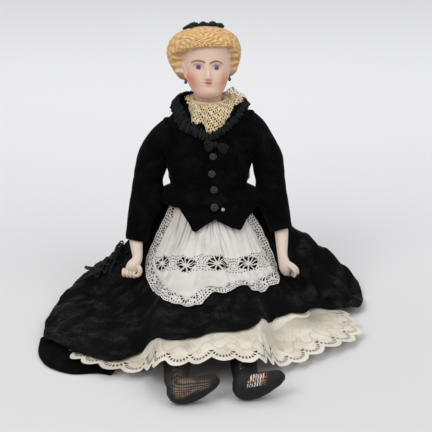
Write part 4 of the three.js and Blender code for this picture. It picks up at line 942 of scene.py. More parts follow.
head = {
    "neckTop": [-1, 0, 213.5],
    "turn": 6, "tiltBack": 6, "roll": 2,
    "eyeHeight": 27.5, "eyeSpacing": 8.7, "mouthHeight": 12.6,
    "hairShift": -1.8, "hairWidest": 40, "faceShift": 1.1, "faceTilt": 0.085,
    "nose": [[14.5, 0.2], [16.5, 3.4], [18.5, 5.4], [24.5, 2.8], [30.5, 1.0], [36.5, 0]],
    "skull": [
        [-6, 12.5, 11.5, 12.5], [-2, 13.4, 12, 13.4], [2, 14, 12.6, 15], [7, 15.5, 14, 18],
        [13, 18, 18, 21], [20, 22.4, 23.4, 24], [28, 23.3, 23.4, 26], [36, 23.3, 23.8, 27],
        [44, 22.6, 23.6, 27], [52, 20, 20, 24], [60, 10, 10, 12], [64.5, 2, 2, 2],
    ],
    "hair": [
        [4, 14, 15, 15], [10, 21.5, 20, 25], [16, 26.5, 24, 30], [24, 30.5, 26, 33.5], [32, 33.8, 27, 35],
        [40, 35, 27, 35.5], [46, 34.2, 27, 35], [52, 31.6, 25.5, 31.5], [57, 27, 21.5, 26],
        [61, 20, 15.5, 18.5], [63.3, 11, 8, 9], [64.5, 2, 2, 2],
    ],
    "jaw": [
        [-4, 5, 6.4, 6.2], [-2.4, 8.8, 10.5, 8], [-0.4, 11.6, 12.6, 8.8], [3, 14.4, 14.2, 8.8],
        [7, 16.8, 15.4, 7.8], [13, 20, 18.6, 5], [20, 22.4, 23.4, 0],
    ],
    "opening": [
        [4, 170], [9, 128], [14, 99], [20, 82], [30, 74], [38, 66], [43, 56], [46.5, 40], [48, 18],
        [49.5, -14],
    ],
    "ear": [-70, 22.5],
    "plateHeights": [160, 165, 170, 176, 180, 184, 187, 190, 193, 196, 199, 203],
}
colours = {
    "skin": (223, 198, 180), "blush": (202, 116, 88), "hairMid": (201, 162, 108), "hairShade": (156, 118, 68),
    "hairLight": (216, 180, 126), "lips": (164, 78, 60), "brow": (86, 50, 28), "iris": (88, 74, 150),
    "arm": (207, 189, 174), "lidAndShade": (120, 76, 56), "eyeWhite": (206, 196, 194), "dark": (14, 12, 16),
    "nostrilAndShade": (176, 112, 88),
}
colours = {name: toneOf(value) for name, value in colours.items()}


def rotation(axis, degrees):
    # a turn about one axis as a matrix
    c, s = math.cos(math.radians(degrees)), math.sin(math.radians(degrees))
    rows = {
        "x": [[1, 0, 0], [0, c, -s], [0, s, c]],
        "y": [[c, 0, s], [0, 1, 0], [-s, 0, c]],
        "z": [[c, -s, 0], [s, c, 0], [0, 0, 1]],
    }
    return np.array(rows[axis])


headTurning = rotation("z", head["turn"]) @ rotation("x", -head["tiltBack"]) @ rotation("y", -head["roll"])


def posed(points):
    # head points turned and set on the neck
    return points @ headTurning.T + np.array(head["neckTop"], float)


def faceRelief(x, z):
    # how far the face stands out: a sum of bells for nose, eyes, lips, chin and cheeks
    nose = along(head["nose"], z)[0] * bell(x, 0, 2.7)
    side = np.abs(x)
    wings = 1.2 * bell(side, 2.7, 1.3) * bell(z, 17.3, 1.5)
    sockets = -1.7 * bell(side, head["eyeSpacing"], 5) * bell(z, head["eyeHeight"], 3.6)
    balls = 1.0 * bell(side, head["eyeSpacing"], 3.6) * bell(z, head["eyeHeight"], 2.4)
    mouth = head["mouthHeight"]
    lips = 1.4 * bell(x, 0, 4.6) * (bell(z, mouth + 1.3, 1.3) + bell(z, mouth - 1.6, 1.2))
    crease = -0.9 * bell(x, 0, 3.6) * bell(z, mouth - 0.1, 0.5)
    chin = 1.2 * bell(x, 0, 7) * bell(z, 4, 4)
    cheeks = 0.8 * bell(side, 13, 6) * bell(z, 15, 6)
    return nose + wings + sockets + balls + lips + crease + chin + cheeks


def hairWaves(x, y, turn, z):
    # locks combed away from the face, each rippling from side to side, with finer threads along them
    up = z - 30
    fromFace = 33 * np.arctan2(np.hypot(x - head["hairShift"], up), -y)
    spoke = np.arctan2(x - head["hairShift"], up)
    spoke = spoke + 0.14 * np.sin(fromFace * 0.3 + 1.5 + np.sin(spoke * 3))
    back = smooth(1.6, 2.4, np.abs(turn))
    bendy = np.sin(fromFace * 0.8 + 2.2 * np.sin(spoke * 2.0 + 0.6))
    bendy = bendy + 0.3 * np.sin(fromFace * 1.9 + spoke * 4)
    front = 1.1 * np.sin(spoke * 34 + 3.6 * bendy) + 0.4 * np.sin(spoke * 15 - 2.4 * bendy + 1.0)
    swirl = np.sin(z * 0.62 + 2.6 * np.sin(turn * 3.0) + turn * 2)
    behind = np.sin(turn * 21 + 1.8 * swirl) + 0.5 * np.sin(turn * 43 + 3 * swirl)
    threads = 0.25 * np.sin(spoke * 110 + 11 * bendy)
    return mix(front, behind, back) + threads


def jawRadius(turn, z):
    # distance from the head's axis to an oval whose middle stands forward of it: the root of
    # (r sin t / wide)^2 + ((r cos t - forward) / deep)^2 = 1
    wide, deep, forward = along(head["jaw"], z)
    s, c = np.sin(turn), np.cos(turn)
    a = (s / wide) ** 2 + (c / deep) ** 2
    b = c * forward / deep ** 2
    return (b + np.sqrt(np.maximum(b * b + a * (1 - (forward / deep) ** 2), 0))) / a


def headPoint(turn, z):
    # the skull or jaw where it is bare, and the hair with its waves elsewhere
    skullWide, skullFront, skullBack = along(head["skull"], z)
    hairWide, hairFront, hairBack = along(head["hair"], z)
    bare = along(head["opening"], z)[0]
    wavy = 2.0 * np.sin(z * 0.9 + 1 + np.tanh(turn * 3)) * smooth(8, 20, z)
    wavy = wavy + 2.0 * np.sin(np.degrees(turn) / 4.4)
    hair = np.where(z < 4, 0, smooth(0, 1, (np.abs(np.degrees(turn)) - bare + 5 + wavy) / 8))
    front = np.cos(turn) > 0
    skullDeep = np.where(front, skullFront, skullBack)
    reach = np.hypot(skullWide * np.sin(turn), skullDeep * np.cos(turn))
    jut = np.where(front & (z > -5) & (z < 20), np.maximum(jawRadius(turn, z) / reach, 1), 1)
    wide = mix(skullWide * jut, hairWide, hair)
    deep = mix(skullDeep * jut, np.where(front, hairFront, hairBack), hair)
    waves = hairWaves(wide * np.sin(turn), -deep * np.cos(turn), turn, z) * smooth(65, 62, z)
    lift = hair * (0.5 * waves + 1.3 * bell(hair, 0.75, 0.28))
    x = (wide + lift) * np.sin(turn) + head["hairShift"] * hair * smooth(8, head["hairWidest"], z)
    relief = np.where(front, (1 - hair) * faceRelief(x + head["faceShift"], z + head["faceTilt"] * x), 0)
    return np.stack([x, -(deep + lift) * np.cos(turn) - relief, z + 0 * x], -1), hair, waves


def paintFace(paint, points, hair, waves, ear):
    # soft strokes, each a product of bells and S curves over x and z
    brush = brushOn(paint)
    x = points[..., 0] + head["faceShift"]
    z = points[..., 2] + head["faceTilt"] * points[..., 0]
    front = smooth(0, 5, -points[..., 1])
    cheekHeight = 14.6 + 0.25 * (np.abs(x) - 16)
    brush(0.85 * bell(np.abs(x), 16.0, 6.0) * bell(z, cheekHeight, 7.0) * front, colours["blush"])
    brush(0.25 * bell(np.abs(x), 15.0, 9.0) * bell(z, 8.0, 7.0) * front, colours["blush"])
    brush(0.16 * bell(np.abs(x), 0, 6) * bell(z, 4, 4) * front, colours["blush"])
    for side in (-1, 1):
        across, up = x - side * head["eyeSpacing"], z - head["eyeHeight"]
        brush(0.3 * bell(across, 0, 5.4) * bell(up, 3.4, 1.4) * front, colours["lidAndShade"])
        almond = smooth(0, 1, (1 - ((across + side * 0.5) / 4.6) ** 2 - (up / 2.5) ** 2) * 3)
        brush(0.85 * almond * front, colours["eyeWhite"])
        gaze = np.hypot(across - 0.1, up - 0.15)
        brush(smooth(0, 1, (2.8 - gaze) * 1.6) * almond * front, colours["iris"])
        brush(smooth(0, 1, (1.7 - gaze) * 3) * front, colours["dark"])
        # a white dot in each eye: a painted highlight
        brush(smooth(0, 1, (0.4 - np.hypot(across + 0.6, up - 0.9)) * 5) * front, colours["eyeWhite"])
        upperLid = up - 2.6 * np.sqrt(np.clip(1 - (across / 5.0) ** 2, 0, 1))
        lowerLid = up + 2.3 * np.sqrt(np.clip(1 - (across / 4.8) ** 2, 0, 1))
        brush(0.8 * bell(upperLid, 0.1, 0.55) * smooth(5.4, 4.6, np.abs(across)) * front, colours["lidAndShade"])
        brush(0.3 * bell(lowerLid, 0, 0.4) * (np.abs(across) < 4.6) * front, colours["lidAndShade"])
        outer, inner = (0.078, 0.055) if side > 0 else (0.066, 0.03)
        arch = up - 6.4 + np.where(side * across > 0, outer, inner) * across ** 2
        thick = mix(0.65, 1.0, smooth(-6, 2, -side * across))
        brush(bell(arch, 0, thick) * smooth(0, 1, (7.2 - np.abs(across)) / 1.4) * front, colours["brow"])
    mouth = head["mouthHeight"]
    bow = 0.55 * bell(np.abs(x), 1.5, 1.1)
    upper = smooth(0, 0.5, z - mouth + 0.15) * smooth(0, 0.7, mouth + 1.9 + bow - 0.07 * x ** 2 - z)
    lower = smooth(0, 0.5, mouth - 0.1 - z) * smooth(0, 0.7, z - mouth + 2.4 - 0.13 * x ** 2)
    lips = np.maximum(upper * smooth(5.4, 4.2, np.abs(x)), 0.65 * lower * smooth(4.0, 2.8, np.abs(x)))
    brush(0.85 * lips * front, colours["lips"])
    parting = bell(z - mouth - 0.03 * x ** 2, 0.05, 0.35) * smooth(4.6, 3.4, np.abs(x))
    brush(parting * front, colours["lips"] * 0.3)
    brush(0.8 * bell(np.abs(x), 2.0, 0.7) * bell(z, 16.4, 0.6) * front, colours["nostrilAndShade"])
    # painted shade under the nose
    brush(0.35 * bell(x, 0, 3.4) * bell(z, 15.4, 0.9) * front, colours["lidAndShade"])
    # the hair is painted lighter on the crests of its waves and darker between them: painted light and shade
    tone = mix(colours["hairShade"], colours["hairLight"], smooth(-1.5, 1.0, waves)[..., None])
    brush(smooth(0.02, 0.22, hair), mix(tone, colours["hairMid"], 0.3))
    # one ear shows under the hair
    brush(0.9 * ear, colours["skin"])
    # painted shadows under the jaw and where the hair meets the face
    under = smooth(3, -3, points[..., 2]) * (1 - hair)
    brush(0.3 * under, colours["nostrilAndShade"])
    brush(0.3 * bell(hair, 0.03, 0.05) * front, colours["nostrilAndShade"])


def makeHead():
    # the plate from inside out, then the neck and head, in one closed grid
    even = turnsRound(350, -np.pi)[0]
    turn = (even - 0.55 * np.sin(even))[None, :]
    z = np.concatenate([np.linspace(-6, 4, 14, endpoint=False), np.linspace(4, 46, 150, endpoint=False),
                        np.linspace(46, 64.4, 66)])[:, None]
    turns, z = np.broadcast_arrays(turn, z)
    points, hair, waves = headPoint(turns, z)
    place, middle = head["ear"]
    ear = smooth(0, 1, 1.6 - np.hypot((np.degrees(turns) - place) / 6, (z - middle) / 5.6))
    rim = bell(np.hypot((np.degrees(turns) - place) / 5.4, (z - middle) / 5.2), 1, 0.25)
    outward = np.stack([np.sin(turns), -np.cos(turns), 0 * turns], -1)
    points = points + outward * (0.5 * ear + 0.9 * rim)[..., None]
    paint = np.broadcast_to(colours["skin"], points.shape).copy()
    paintFace(paint, points, hair, waves, ear)
    heights = np.array(head["plateHeights"])[:, None]
    plate = figurePoint(turn, heights, 0 * heights)
    inner = figurePoint(turn, heights[::-2], -3.0 + 0 * heights[::-2])
    grid = np.concatenate([inner, plate, posed(points)])
    plain = np.broadcast_to(colours["skin"], (len(inner) + len(plate),) + points.shape[1:])
    makePiece("bisqueHead", [capped(grid, paint=np.concatenate([plain, paint]))], [bisque],
              stands=["shoulder_head"])


makeHead()
print("head made")


# Jacket and its trimmings.

jacket = {
    "hem": [
        [-180, 110], [-75, 110], [-45, 105.5], [-35, 104.6], [-27, 100.3], [-22, 97], [-17, 93], [-12, 87],
        [-9, 86.6], [4, 97], [20, 89], [28, 86.6], [40, 94.5], [57, 101], [75, 105], [100, 110],
        [180, 110],
    ],
    "neckline": [[-180, 198], [-75, 198], [-48, 190], [0, 180], [48, 190], [75, 198], [180, 198]],
    "ease": 1.0, "gap": 0.5, "thickness": 3.0, "flare": 8.5, "pointFlare": 0.66, "side": 42.3,
    "seams": [-52, -27, 34, 55, 105, -105, 150, -150, 180, -180],
    "shoulderLift": 7.5, "armhole": [168, 18.3],
    "piping": [[33, 0], [38.5, 0], [42.2, -0.1], [42.95, -1.0], [42.9, -7.0]],
    # the ribbon round the neck: degrees from the front, distance from the axis and height
    "neckEdge": [
        [-180, 22, 204], [-140, 22, 206], [-109, 26.5, 206.6], [-86, 32.5, 204.4], [-65, 33.4, 197],
        [-44, 33.4, 187], [-32, 31, 183.4], [-15, 29, 179.6], [1, 28.3, 177], [15, 28.8, 180],
        [28, 30, 184.5], [51, 32.4, 194], [65, 34.2, 201], [80, 36, 204.7], [110, 31, 204], [140, 25, 204],
        [180, 22, 205],
    ],
}


def ringTable(table, turn):
    # a table of degrees, distance and height as a smooth closed line: places at the given turns
    table = np.array(table, float)
    degrees = np.concatenate([table[-3:-1, 0] - 360, table[:, 0], table[1:3, 0] + 360])
    values = np.concatenate([table[-3:-1, 1:], table[:, 1:], table[1:3, 1:]])
    fine = smoothPath(np.column_stack([degrees, values]), 900)
    place = np.degrees(turn)
    reach, height = [np.interp(place, fine[:, 0], fine[:, k]) for k in (1, 2)]
    return np.stack([reach * np.sin(turn), -reach * np.cos(turn), height], -1)


def jacketOffset(height):
    # ease and gap, flaring below the waist and at the points of the hem
    flare = jacket["flare"] * (1 - smooth(110, 121, height))
    points = jacket["pointFlare"] * np.maximum(0, 104 - height)
    return jacket["gap"] + jacket["ease"] + 0.8 * bell(height, 184, 7) + flare + points


def jacketSurface(turn, height, offset):
    # the figure at its offset, flat where the sleeves are set in
    point = figurePoint(turn, height, jacketOffset(height) + offset)
    side = np.where(height > 149, jacket["side"], 1e3)
    point[..., 0] = np.clip(point[..., 0], -side, side)
    return point


def makeJacket():
    # darts and seams draw in, the placket steps down beside the buttons, and the hem is turned up
    turn = turnsRound(320, -np.pi)
    degrees = np.degrees(turn)
    level = np.linspace(0, 1, 140)[:, None]
    height = mix(along(jacket["hem"], degrees)[0], along(jacket["neckline"], degrees)[0], level)
    turn = np.broadcast_to(turn, height.shape)
    x = jacketSurface(turn, height, jacket["thickness"])[..., 0]
    lean = [0.25 * np.sign(line) if abs(line) < 60 else 0 for line in jacket["seams"]]
    seam = sum(bell(degrees - line - k * (height - 130), 0, 1.0) for line, k in zip(jacket["seams"], lean))
    placket = smooth(-0.5, 0.5, x - 12.0 - 0.02 * (height - 130)) * (np.cos(turn) > 0)
    creases = 0.3 * np.sin(height * 0.55 + 3 * np.sin(turn * 4)) * bell(height, 122, 12)
    hem = 0.5 * bell(level, 0.02, 0.012) - 0.8 * smooth(0.012, 0, level)
    out = 0.4 - 0.45 * seam - 0.5 * placket + creases + hem
    points = jacketSurface(turn, height, jacket["thickness"] + out)
    fuller = 2.6 * bell(height, 146, 8) + 4.5 * bell(height, 106, 8)
    points[..., 0] += np.sign(points[..., 0]) * fuller * smooth(30, 40, np.abs(points[..., 0]))
    points[..., 2] += jacket["shoulderLift"] * smooth(155, 182, height) * smooth(4, 38, points[..., 0])
    edge = ringTable(jacket["neckEdge"], turn[0])[None]
    points = mix(points, edge * [0.98, 0.98, 1] - [0, 0, 1.2], smooth(0.8, 1, level)[..., None])
    patches = [patch(points, True)]
    # under the collar the velvet runs up to the neck: a dark sheet that makes the lace's holes show dark,
    # partly the jacket's own lining and partly painted shade
    neck = np.stack([14.4 * np.sin(turn[0]), -13.4 * np.cos(turn[0]), 204 + 0 * turn[0]], -1)[None]
    rise = np.linspace(0, 1, 12)[:, None, None]
    facing = mix(edge + [0, 0, 0.6], neck, rise) - [0, 0, 1.2] * np.sin(np.pi * rise)
    patches.append(patch(facing, True))
    for side in (-1, 1):
        patches.append(makePiping(side))
    return makePiece("velvetJacket", patches, [velvet], stands=["jacket"],
                     thickness=2.0)


def makePiping(side):
    # the ring that each sleeve is set into: it closes the gap between the jacket's side and the sleeve
    centre, radius = jacket["armhole"]
    turn = turnsRound(72)
    rows = np.array(jacket["piping"])
    reach = radius + rows[:, 1:]
    x = side * rows[:, :1]
    z = centre + reach * np.cos(turn)
    if side > 0:
        z = z + jacket["shoulderLift"] * smooth(155, 182, z)
    return patch(gridOf(x, reach * np.sin(turn), z), True, flip=side < 0)


def surfaceOf(piece):
    # the piece's own surface, for finding its front with rays
    work = bmesh.new()
    work.from_mesh(piece.data)
    found = BVHTree.FromBMesh(work)
    work.free()
    return found


def frontAt(surface, x, z):
    # y of the first surface met from in front
    hit = surface.ray_cast((x * mm, -0.2, z * mm), (0, 1, 0))[0]
    return hit[1] / mm if hit else -25.0


jacketFront = surfaceOf(makeJacket())
trims = {
    "buttons": [[4.1, 158, 3.8], [2.9, 140, 3.9], [5, 123, 4.1], [5.4, 108, 4.2]],
    "buttonProfile": [
        [0.02, 2.3], [0.25, 2.35], [0.34, 1.95], [0.62, 1.9], [0.7, 2.25], [0.9, 1.9], [1, 1.1],
        [0.97, 0.5], [0.7, 0.0],
    ],
    "stud": [13.8, 105.5, 1.9],
    "bow": [6.9, 171.2], "loops": [[-1, 15, 10.3, 6.2], [1, 33, 12.3, 5.2]],
    "gathers": 62,
    # the collar's outer edge: degrees round the neck, and place
    "collarEdge": [
        [-180, 0, 17, 208.5], [-140, -12, 13.5, 209.5], [-112, -19.5, 5, 210], [-86, -23.6, 0, 208.5],
        [-72, -22, -6, 206], [-58, -19.5, -12, 201], [-44, -17.2, -19, 193.5], [-35, -16.3, -25, 184.2],
        [-26, -10.6, -25, 189], [-12, -4.6, -26, 188.4], [-4, -1.5, -28, 178.8], [4, 2, -28, 178.6],
        [18, 9, -27.5, 181], [32, 15, -25, 184.5], [46, 20.5, -20, 189.5], [60, 25, -15, 194.5],
        [72, 30, -7, 200.5], [82, 35, -2, 203], [90, 38.6, 1, 206.8], [102, 32, 2, 212.6],
        [113, 25.5, 2.5, 217.6], [121, 20.5, 4, 218], [132, 15, 9, 212], [180, 0, 17, 208.5],
    ],
    "collarNeck": [16.2, 15.2, 207.6],
}


def makeCollar():
    # gathered lace that falls open from a fold round the neck, and stands up beside it on one side
    columns, rows = 760, 96
    turn = turnsRound(columns, -np.pi)
    table = np.array(trims["collarEdge"], float)
    extra = [table[-3:-1] - [360, 0, 0, 0], table, table[1:3] + [360, 0, 0, 0]]
    fine = smoothPath(np.concatenate(extra), 1400)
    edge = np.stack([np.interp(np.degrees(turn[0]), fine[:, 0], fine[:, k]) for k in (1, 2, 3)], -1)[None]
    wide, deep, height = trims["collarNeck"]
    fold = np.stack([wide * np.sin(turn), -deep * np.cos(turn), height + 0 * turn], -1)
    share = np.linspace(0, 1, rows)[:, None, None]
    outward = np.stack([np.sin(turn), -np.cos(turn), 0.5 + 0 * turn], -1)
    span = np.linalg.norm(edge - fold, axis=-1, keepdims=True)
    pleat = np.sin(turn * 26 + 1.4 * np.sin(turn * 5))[..., None] + 0.4 * np.sin(turn * 47)[..., None]
    standing = bell(np.degrees(turn), 98, 26)[..., None]
    lift = (0.1 * span + 0.4) * np.sin(np.pi * share ** 0.7) + (0.45 + 0.5 * standing) * pleat * share ** 0.8
    points = mix(fold, edge, share) + outward * lift
    lip = np.stack([(wide - 1.9) * np.sin(turn), -(deep - 1.6) * np.cos(turn), height - 2.6 + 0 * turn], -1)
    brim = np.stack([(wide - 0.9) * np.sin(turn), -(deep - 0.9) * np.cos(turn), height + 0.1 + 0 * turn], -1)
    # the lace: rows of round holes with solid flowers between them, and a picot edge
    closed = np.concatenate([edge[0], edge[0][:1]])
    length = np.concatenate([[0], np.cumsum(np.linalg.norm(np.diff(closed, axis=0), axis=1))])[:-1]
    e = np.broadcast_to(length[None, :], (rows, columns))
    d = ((1 - share) * span)[..., 0]
    row = np.floor(d / 2.5)
    across = (e / 2.9 + 0.5 * (row % 2)) % 1 * 2.9 - 1.45
    uneven = 0.22 * np.sin(e * 0.9 + row * 2.3) + 0.16 * np.sin(e * 2.1 - row * 1.7)
    holes = np.hypot(across, (d / 2.5) % 1 * 2.5 - 1.25) - (0.86 + uneven)
    flowers = np.sin(2 * np.pi * e / 10.5) * np.sin(2 * np.pi * (d - 2) / 8.5) - 0.62
    holes = np.where((flowers > 0) | (d > span[..., 0] - 1.2), 1, holes)
    keep = np.minimum(holes, d - 0.7 * np.abs(np.sin(np.pi * e / 2.5)) - 0.1)
    # darker in the hollows of the pleats, as painted shade, and a little lighter on the solid flowers
    shade = 1 - 0.16 * smooth(-0.4, -1.2, pleat[..., 0] * share[..., 0]) + 0.05 * smooth(0, 0.1, flowers)
    tone = mix(np.array([1, 0.97, 0.9]), 1.0, smooth(0, 1, np.sin(e * 0.4 + d * 0.3))[..., None])
    paint = shade[..., None] * tone
    uv = np.stack([e, d], -1) * mm
    # the pale inner fold on the other side of the neck has no holes
    grid = np.concatenate([lip, brim, points])
    keep = np.concatenate([np.ones((2, columns)), keep])
    paint = np.concatenate([paint[:1], paint[:1], paint])
    uv = np.concatenate([uv[:1], uv[:1], uv])
    makePiece("laceCollar", [patch(grid, True, True, uv=uv, paint=paint, keep=keep)], [laceCotton],
              stands=["lace_collar"])


def makeButtons():
    # domed jet with a pressed ring of facets and a raised middle
    profile = np.array(trims["buttonProfile"])
    turn = turnsRound(24)
    for k, (x, z, radius) in enumerate(trims["buttons"]):
        reach = profile[:, :1] * radius * (1 + 0.04 * np.sign(np.sin(turn * 12)) * (profile[:, :1] > 0.5))
        y = frontAt(jacketFront, x, z) - 0.6
        points = gridOf(x + reach * np.cos(turn), y - profile[:, 1:], z + reach * np.sin(turn))
        makePiece("jetButton_%d" % (k + 1), [capped(points, flip=True)], [jet],
                  stands=["button_%d" % (k + 1)])
    x, z, radius = trims["stud"]
    y = frontAt(jacketFront, x, z)
    makePiece("pearlStud", [ball([x, y - 1.6, z], [radius, 1.5, radius], 20)], [pearl],
              stands=["pearl_stud"])


def makeNeckRibbon():
    # gathered ribbon round the neckline: a strip whose edges frill and whose middle is drawn in
    turn = turnsRound(trims["gathers"] * 12, -np.pi)[0]
    across = np.linspace(-1, 1, 17)[:, None]
    middle = ringTable(jacket["neckEdge"], turn)
    outward = np.stack([np.sin(turn) * 0.8, -np.cos(turn) * 0.8, 0.6 + 0 * turn], -1)
    around = np.concatenate([middle[-1:], middle, middle[:1]])
    tangent = unit(around[2:] - around[:-2])
    normal = unit(outward - tangent * (outward * tangent).sum(-1, keepdims=True))
    upward = np.cross(normal, tangent)
    phase = turn[None, :] * trims["gathers"]
    crumple = np.sin(phase + 1.3 * np.sin(turn * 13) + across * 1.2)
    crumple = crumple + 0.6 * np.sin(phase * 1.7 + across * 3 + 2 * np.sin(turn * 5))
    broad = 2.6 * bell(np.degrees(turn), -62, 42) - 1.3 * bell(np.degrees(turn), 52, 40)
    half = 4.5 + broad + 0.55 * np.sin(phase * 0.5 + 1)
    half = half + 0.35 * np.sin(phase + 2) * np.sign(across)
    width = across * half + 0.7 * broad
    stand = 1.3 + 1.2 * (1 - across ** 2) + 0.9 * crumple * (0.4 + 0.7 * np.abs(across))
    points = middle[None] + upward[None] * width[..., None] + normal[None] * stand[..., None]
    makePiece("neckRibbon", [patch(points, True)], [ribbon], stands=["neck_ruffle"],
              thickness=0.5)


def makeBow():
    # two square-ended loops that open downwards from a small knot
    x, z = trims["bow"]
    y = frontAt(jacketFront, x, z) - 3.6
    t = np.linspace(0, 1, 40)[:, None]
    turn = turnsRound(48)
    patches = []
    for side, tilt, reach, half in trims["loops"]:
        down = math.radians(tilt)
        opening = np.sqrt(np.clip(1 - (2 * t - 1) ** 8, 0.02, 1))
        high = mix(2.2, half, smooth(0, 0.6, t)) * opening * (1 + 0.07 * np.sin(turn * 6 + side) * (1 - t))
        deep = (1.4 + 1.0 * np.sin(np.pi * t)) * (1 - 0.4 * t) + 0.35 * np.sin(turn * 9 + t * 4)
        square = np.abs(np.cos(turn)) ** 0.6 * np.sign(np.cos(turn))
        out, up = 1.0 + reach * t, high * np.sin(turn)
        parts = [
            x + side * (out * math.cos(down) + up * math.sin(down)),
            y + 0.8 * t ** 2 - deep * square * 0.8,
            z - out * math.sin(down) + up * math.cos(down),
        ]
        patches.append(capped(gridOf(*parts), flip=side > 0))
    patches.append(ball([x, y - 1.4, z], [2.1, 2.2, 2.9], 24))
    makePiece("jacketBow", patches, [ribbon], stands=["jacket_bow"])


makeNeckRibbon()
makeCollar()
makeButtons()
makeBow()


# Arms: velvet sleeves, bisque forearms and stuffed upper arms.

arms = {
    "right": {
        "side": -1, "full": [6.6, 9.0],
        "cuff": [72, -21, 71], "wrist": [70.5, -36, 54.5], "palm": [74, -41, 46],
    },
    "left": {
        "side": 1, "full": [3.0, 3.2],
        "cuff": [71.5, -20, 78], "wrist": [72.5, -36, 57], "palm": [74.5, -40, 47],
    },
    "fan": [
        [0, 1, 37.5, 18], [20, 1.2, 31, 17.5], [42, 1.4, 27, 17], [66, 1.5, 26, 16.5], [90, 1.6, 27.8, 16],
    ],
    "path": [[59.6, -1, 132, 14.4, 15.6], [62.5, -5, 113, 14.6, 15.4], [67.5, -12.5, 94, 13, 14]],
    "top": 43.1,
    "stump": [67.7, -12.9, 93.2],
    "girths": [[8.0, 8.0], [8.4, 8.4], [7.4, 7.4], [6.9, 6.9], [5.9, 6.0], [4.9, 4.5]],
    # the hands: places counted from the palm, or from a finger's root, and half sizes
    "fist": [[0.5, 0, 3, 6.2, 4.6], [1.5, -0.5, -2, 6.6, 4.4], [1.5, -0.6, -5.5, 3.2, 2.6]],
    "curl": [[0, 0, 0.4], [0.4, -3.2, -0.6], [0.3, -4.4, -3.2], [0, -2.4, -5.2], [-0.2, 0.6, -5.0]],
    "thumb": [
        [-4.6, -1.0, 2.5, 2.6, 2.6], [-6.2, -3.2, 0.0, 2.5, 2.5], [-6.0, -4.4, -3.4, 2.2, 2.2],
        [-3.8, -4.8, -5.6, 2.0, 2.0], [-1.2, -4.6, -5.9, 1.5, 1.5],
    ],
    "cup": [[0.5, 0, 1.5, 6.0, 4.4], [1.2, -0.6, -4, 5.0, 3.8], [1.6, -1.2, -8, 2.2, 2.0]],
    "fingers": [
        [[3, -0.5, 4.5], [7.6, -1.6, 2.6], [11.4, -2.2, -0.8], [12.6, -2.2, -4.8], [11.6, -1.6, -6.6]],
        [[3, -2.4, 2.5], [7.0, -3.8, 0.4], [9.8, -4.4, -3.2], [9.6, -4.0, -7.4], [8.6, -3.4, -8.6]],
        [[2.6, 1.6, 2.0], [6.0, 1.4, -0.4], [8.0, 0.8, -4.4], [7.4, 0.6, -8.0], [6.4, 0.6, -9.2]],
        [[1.0, 2.4, 0.0], [3.4, 2.6, -3.4], [4.4, 2.2, -6.6], [4.0, 1.8, -9.0], [3.4, 1.6, -9.6]],
    ],
    "fingerSizes": [2.5, 2.1, 1.9, 1.7, 1.2],
}


def armSections(arm):
    # a fan of ovals about the armpit, then ovals square to the arm: centre, wide, deep and half sizes
    sections = []
    for degrees, low, high, deep in arms["fan"]:
        a = math.radians(degrees)
        wide = np.array([math.sin(a), 0, math.cos(a)])
        centre = np.array([arms["top"], 0, 149.0]) + wide * (low + high) / 2
        sections.append(np.concatenate([centre, wide, [0, 1.0, 0], [(high - low) / 2, deep]]))
    path = arms["path"] + [arm["cuff"] + [11, 11.6]]
    for k, (x, y, z, a, b) in enumerate(path):
        ahead = np.array(path[min(k + 1, len(path) - 1)][:3], float)
        behind = np.array(path[k - 1][:3] if k else (57.8, 0, 149), float)
        run = unit(ahead - behind)
        wide = unit(np.array([1.0, 0, 0]) - run * run[0])
        sections.append(np.concatenate([[x, y, z], wide, unit(np.cross(wide, run)), [a, b]]))
    return np.array(sections)


def armGrid(arm, rows, columns, level=1.0):
    # the arm's sections carried on to a share of its length, with the turn and length at each place
    dense = smoothPath(armSections(arm), rows)[:int(rows * level)][:, None]
    turn = turnsRound(columns)[..., None]
    t = np.linspace(0, level, len(dense))[:, None, None]
    return dense, turn, t


def armPoints(dense, turn, grow, side):
    # ovals of the arm, a distance larger, on one side of the doll
    wide = (dense[..., 9:10] + grow) * np.cos(turn)
    deep = (dense[..., 10:11] + grow) * np.sin(turn)
    points = dense[..., :3] + dense[..., 3:6] * wide + dense[..., 6:9] * deep
    points[..., 0] *= side
    return points


def makeSleeve(name, arm):
    # the arm's ovals with folds, seam, hem and gathers added
    dense, turn, t = armGrid(arm, 150, 110)
    bends = bell(t, 0.66, 0.12) + 0.5 * bell(t, 0.4, 0.12)
    folds = 0.45 * np.sin(t * 62 + 1.6 * np.sin(turn * 2 + 1)) * bends * (0.6 - 0.4 * np.cos(turn - 1))
    seam = -0.5 * bell((turn - 3.4 + np.pi) % (2 * np.pi) - np.pi, 0, 0.035)
    hem = 0.35 * bell(t, 0.975, 0.012) - 0.5 * smooth(0.99, 1, t)
    gather = 0.5 * np.sin(turn * 16) * bell(t, 0.03, 0.03)
    points = armPoints(dense, turn, folds + seam + hem + gather - 0.15, arm["side"])
    # the sleeves are full under the arm, and one shoulder stands higher
    x, z = points[..., 0] * arm["side"], points[..., 2]
    inner = smooth(60, 46, x)
    high, low = arm["full"]
    points[..., 0] -= arm["side"] * inner * (high * bell(z, 147, 13) + low * bell(z, 101, 14))
    if arm["side"] < 0:
        points[..., 1:] -= smooth(0.7, 1, t) * np.array([0.7, 3.0])
    if arm["side"] > 0:
        points[..., 0] += 2.2 * bell(z, 152, 20) * smooth(56, 70, x)
        points[..., 2] += jacket["shoulderLift"] * smooth(155, 182, z)
    makePiece("velvetSleeve_" + name, [patch(points, True, arm["side"] > 0)], [velvet], body="arm_" + name,
              stands=["sleeve_" + name], thickness=1.6)


def limb(stations, side, sides, towards, count):
    # a round limb through stations of place and half sizes, on the given side of the doll
    row = smoothPath(np.array(stations, float), count)
    row[:, 0] *= side
    return tube(row[:, :3], row[:, 3], row[:, 4], sides, towards)


def placedFrom(start, rows):
    # rows of place and half sizes, with their places moved to a start
    return [list(start + np.array(row[:3], float)) + row[3:] for row in rows]


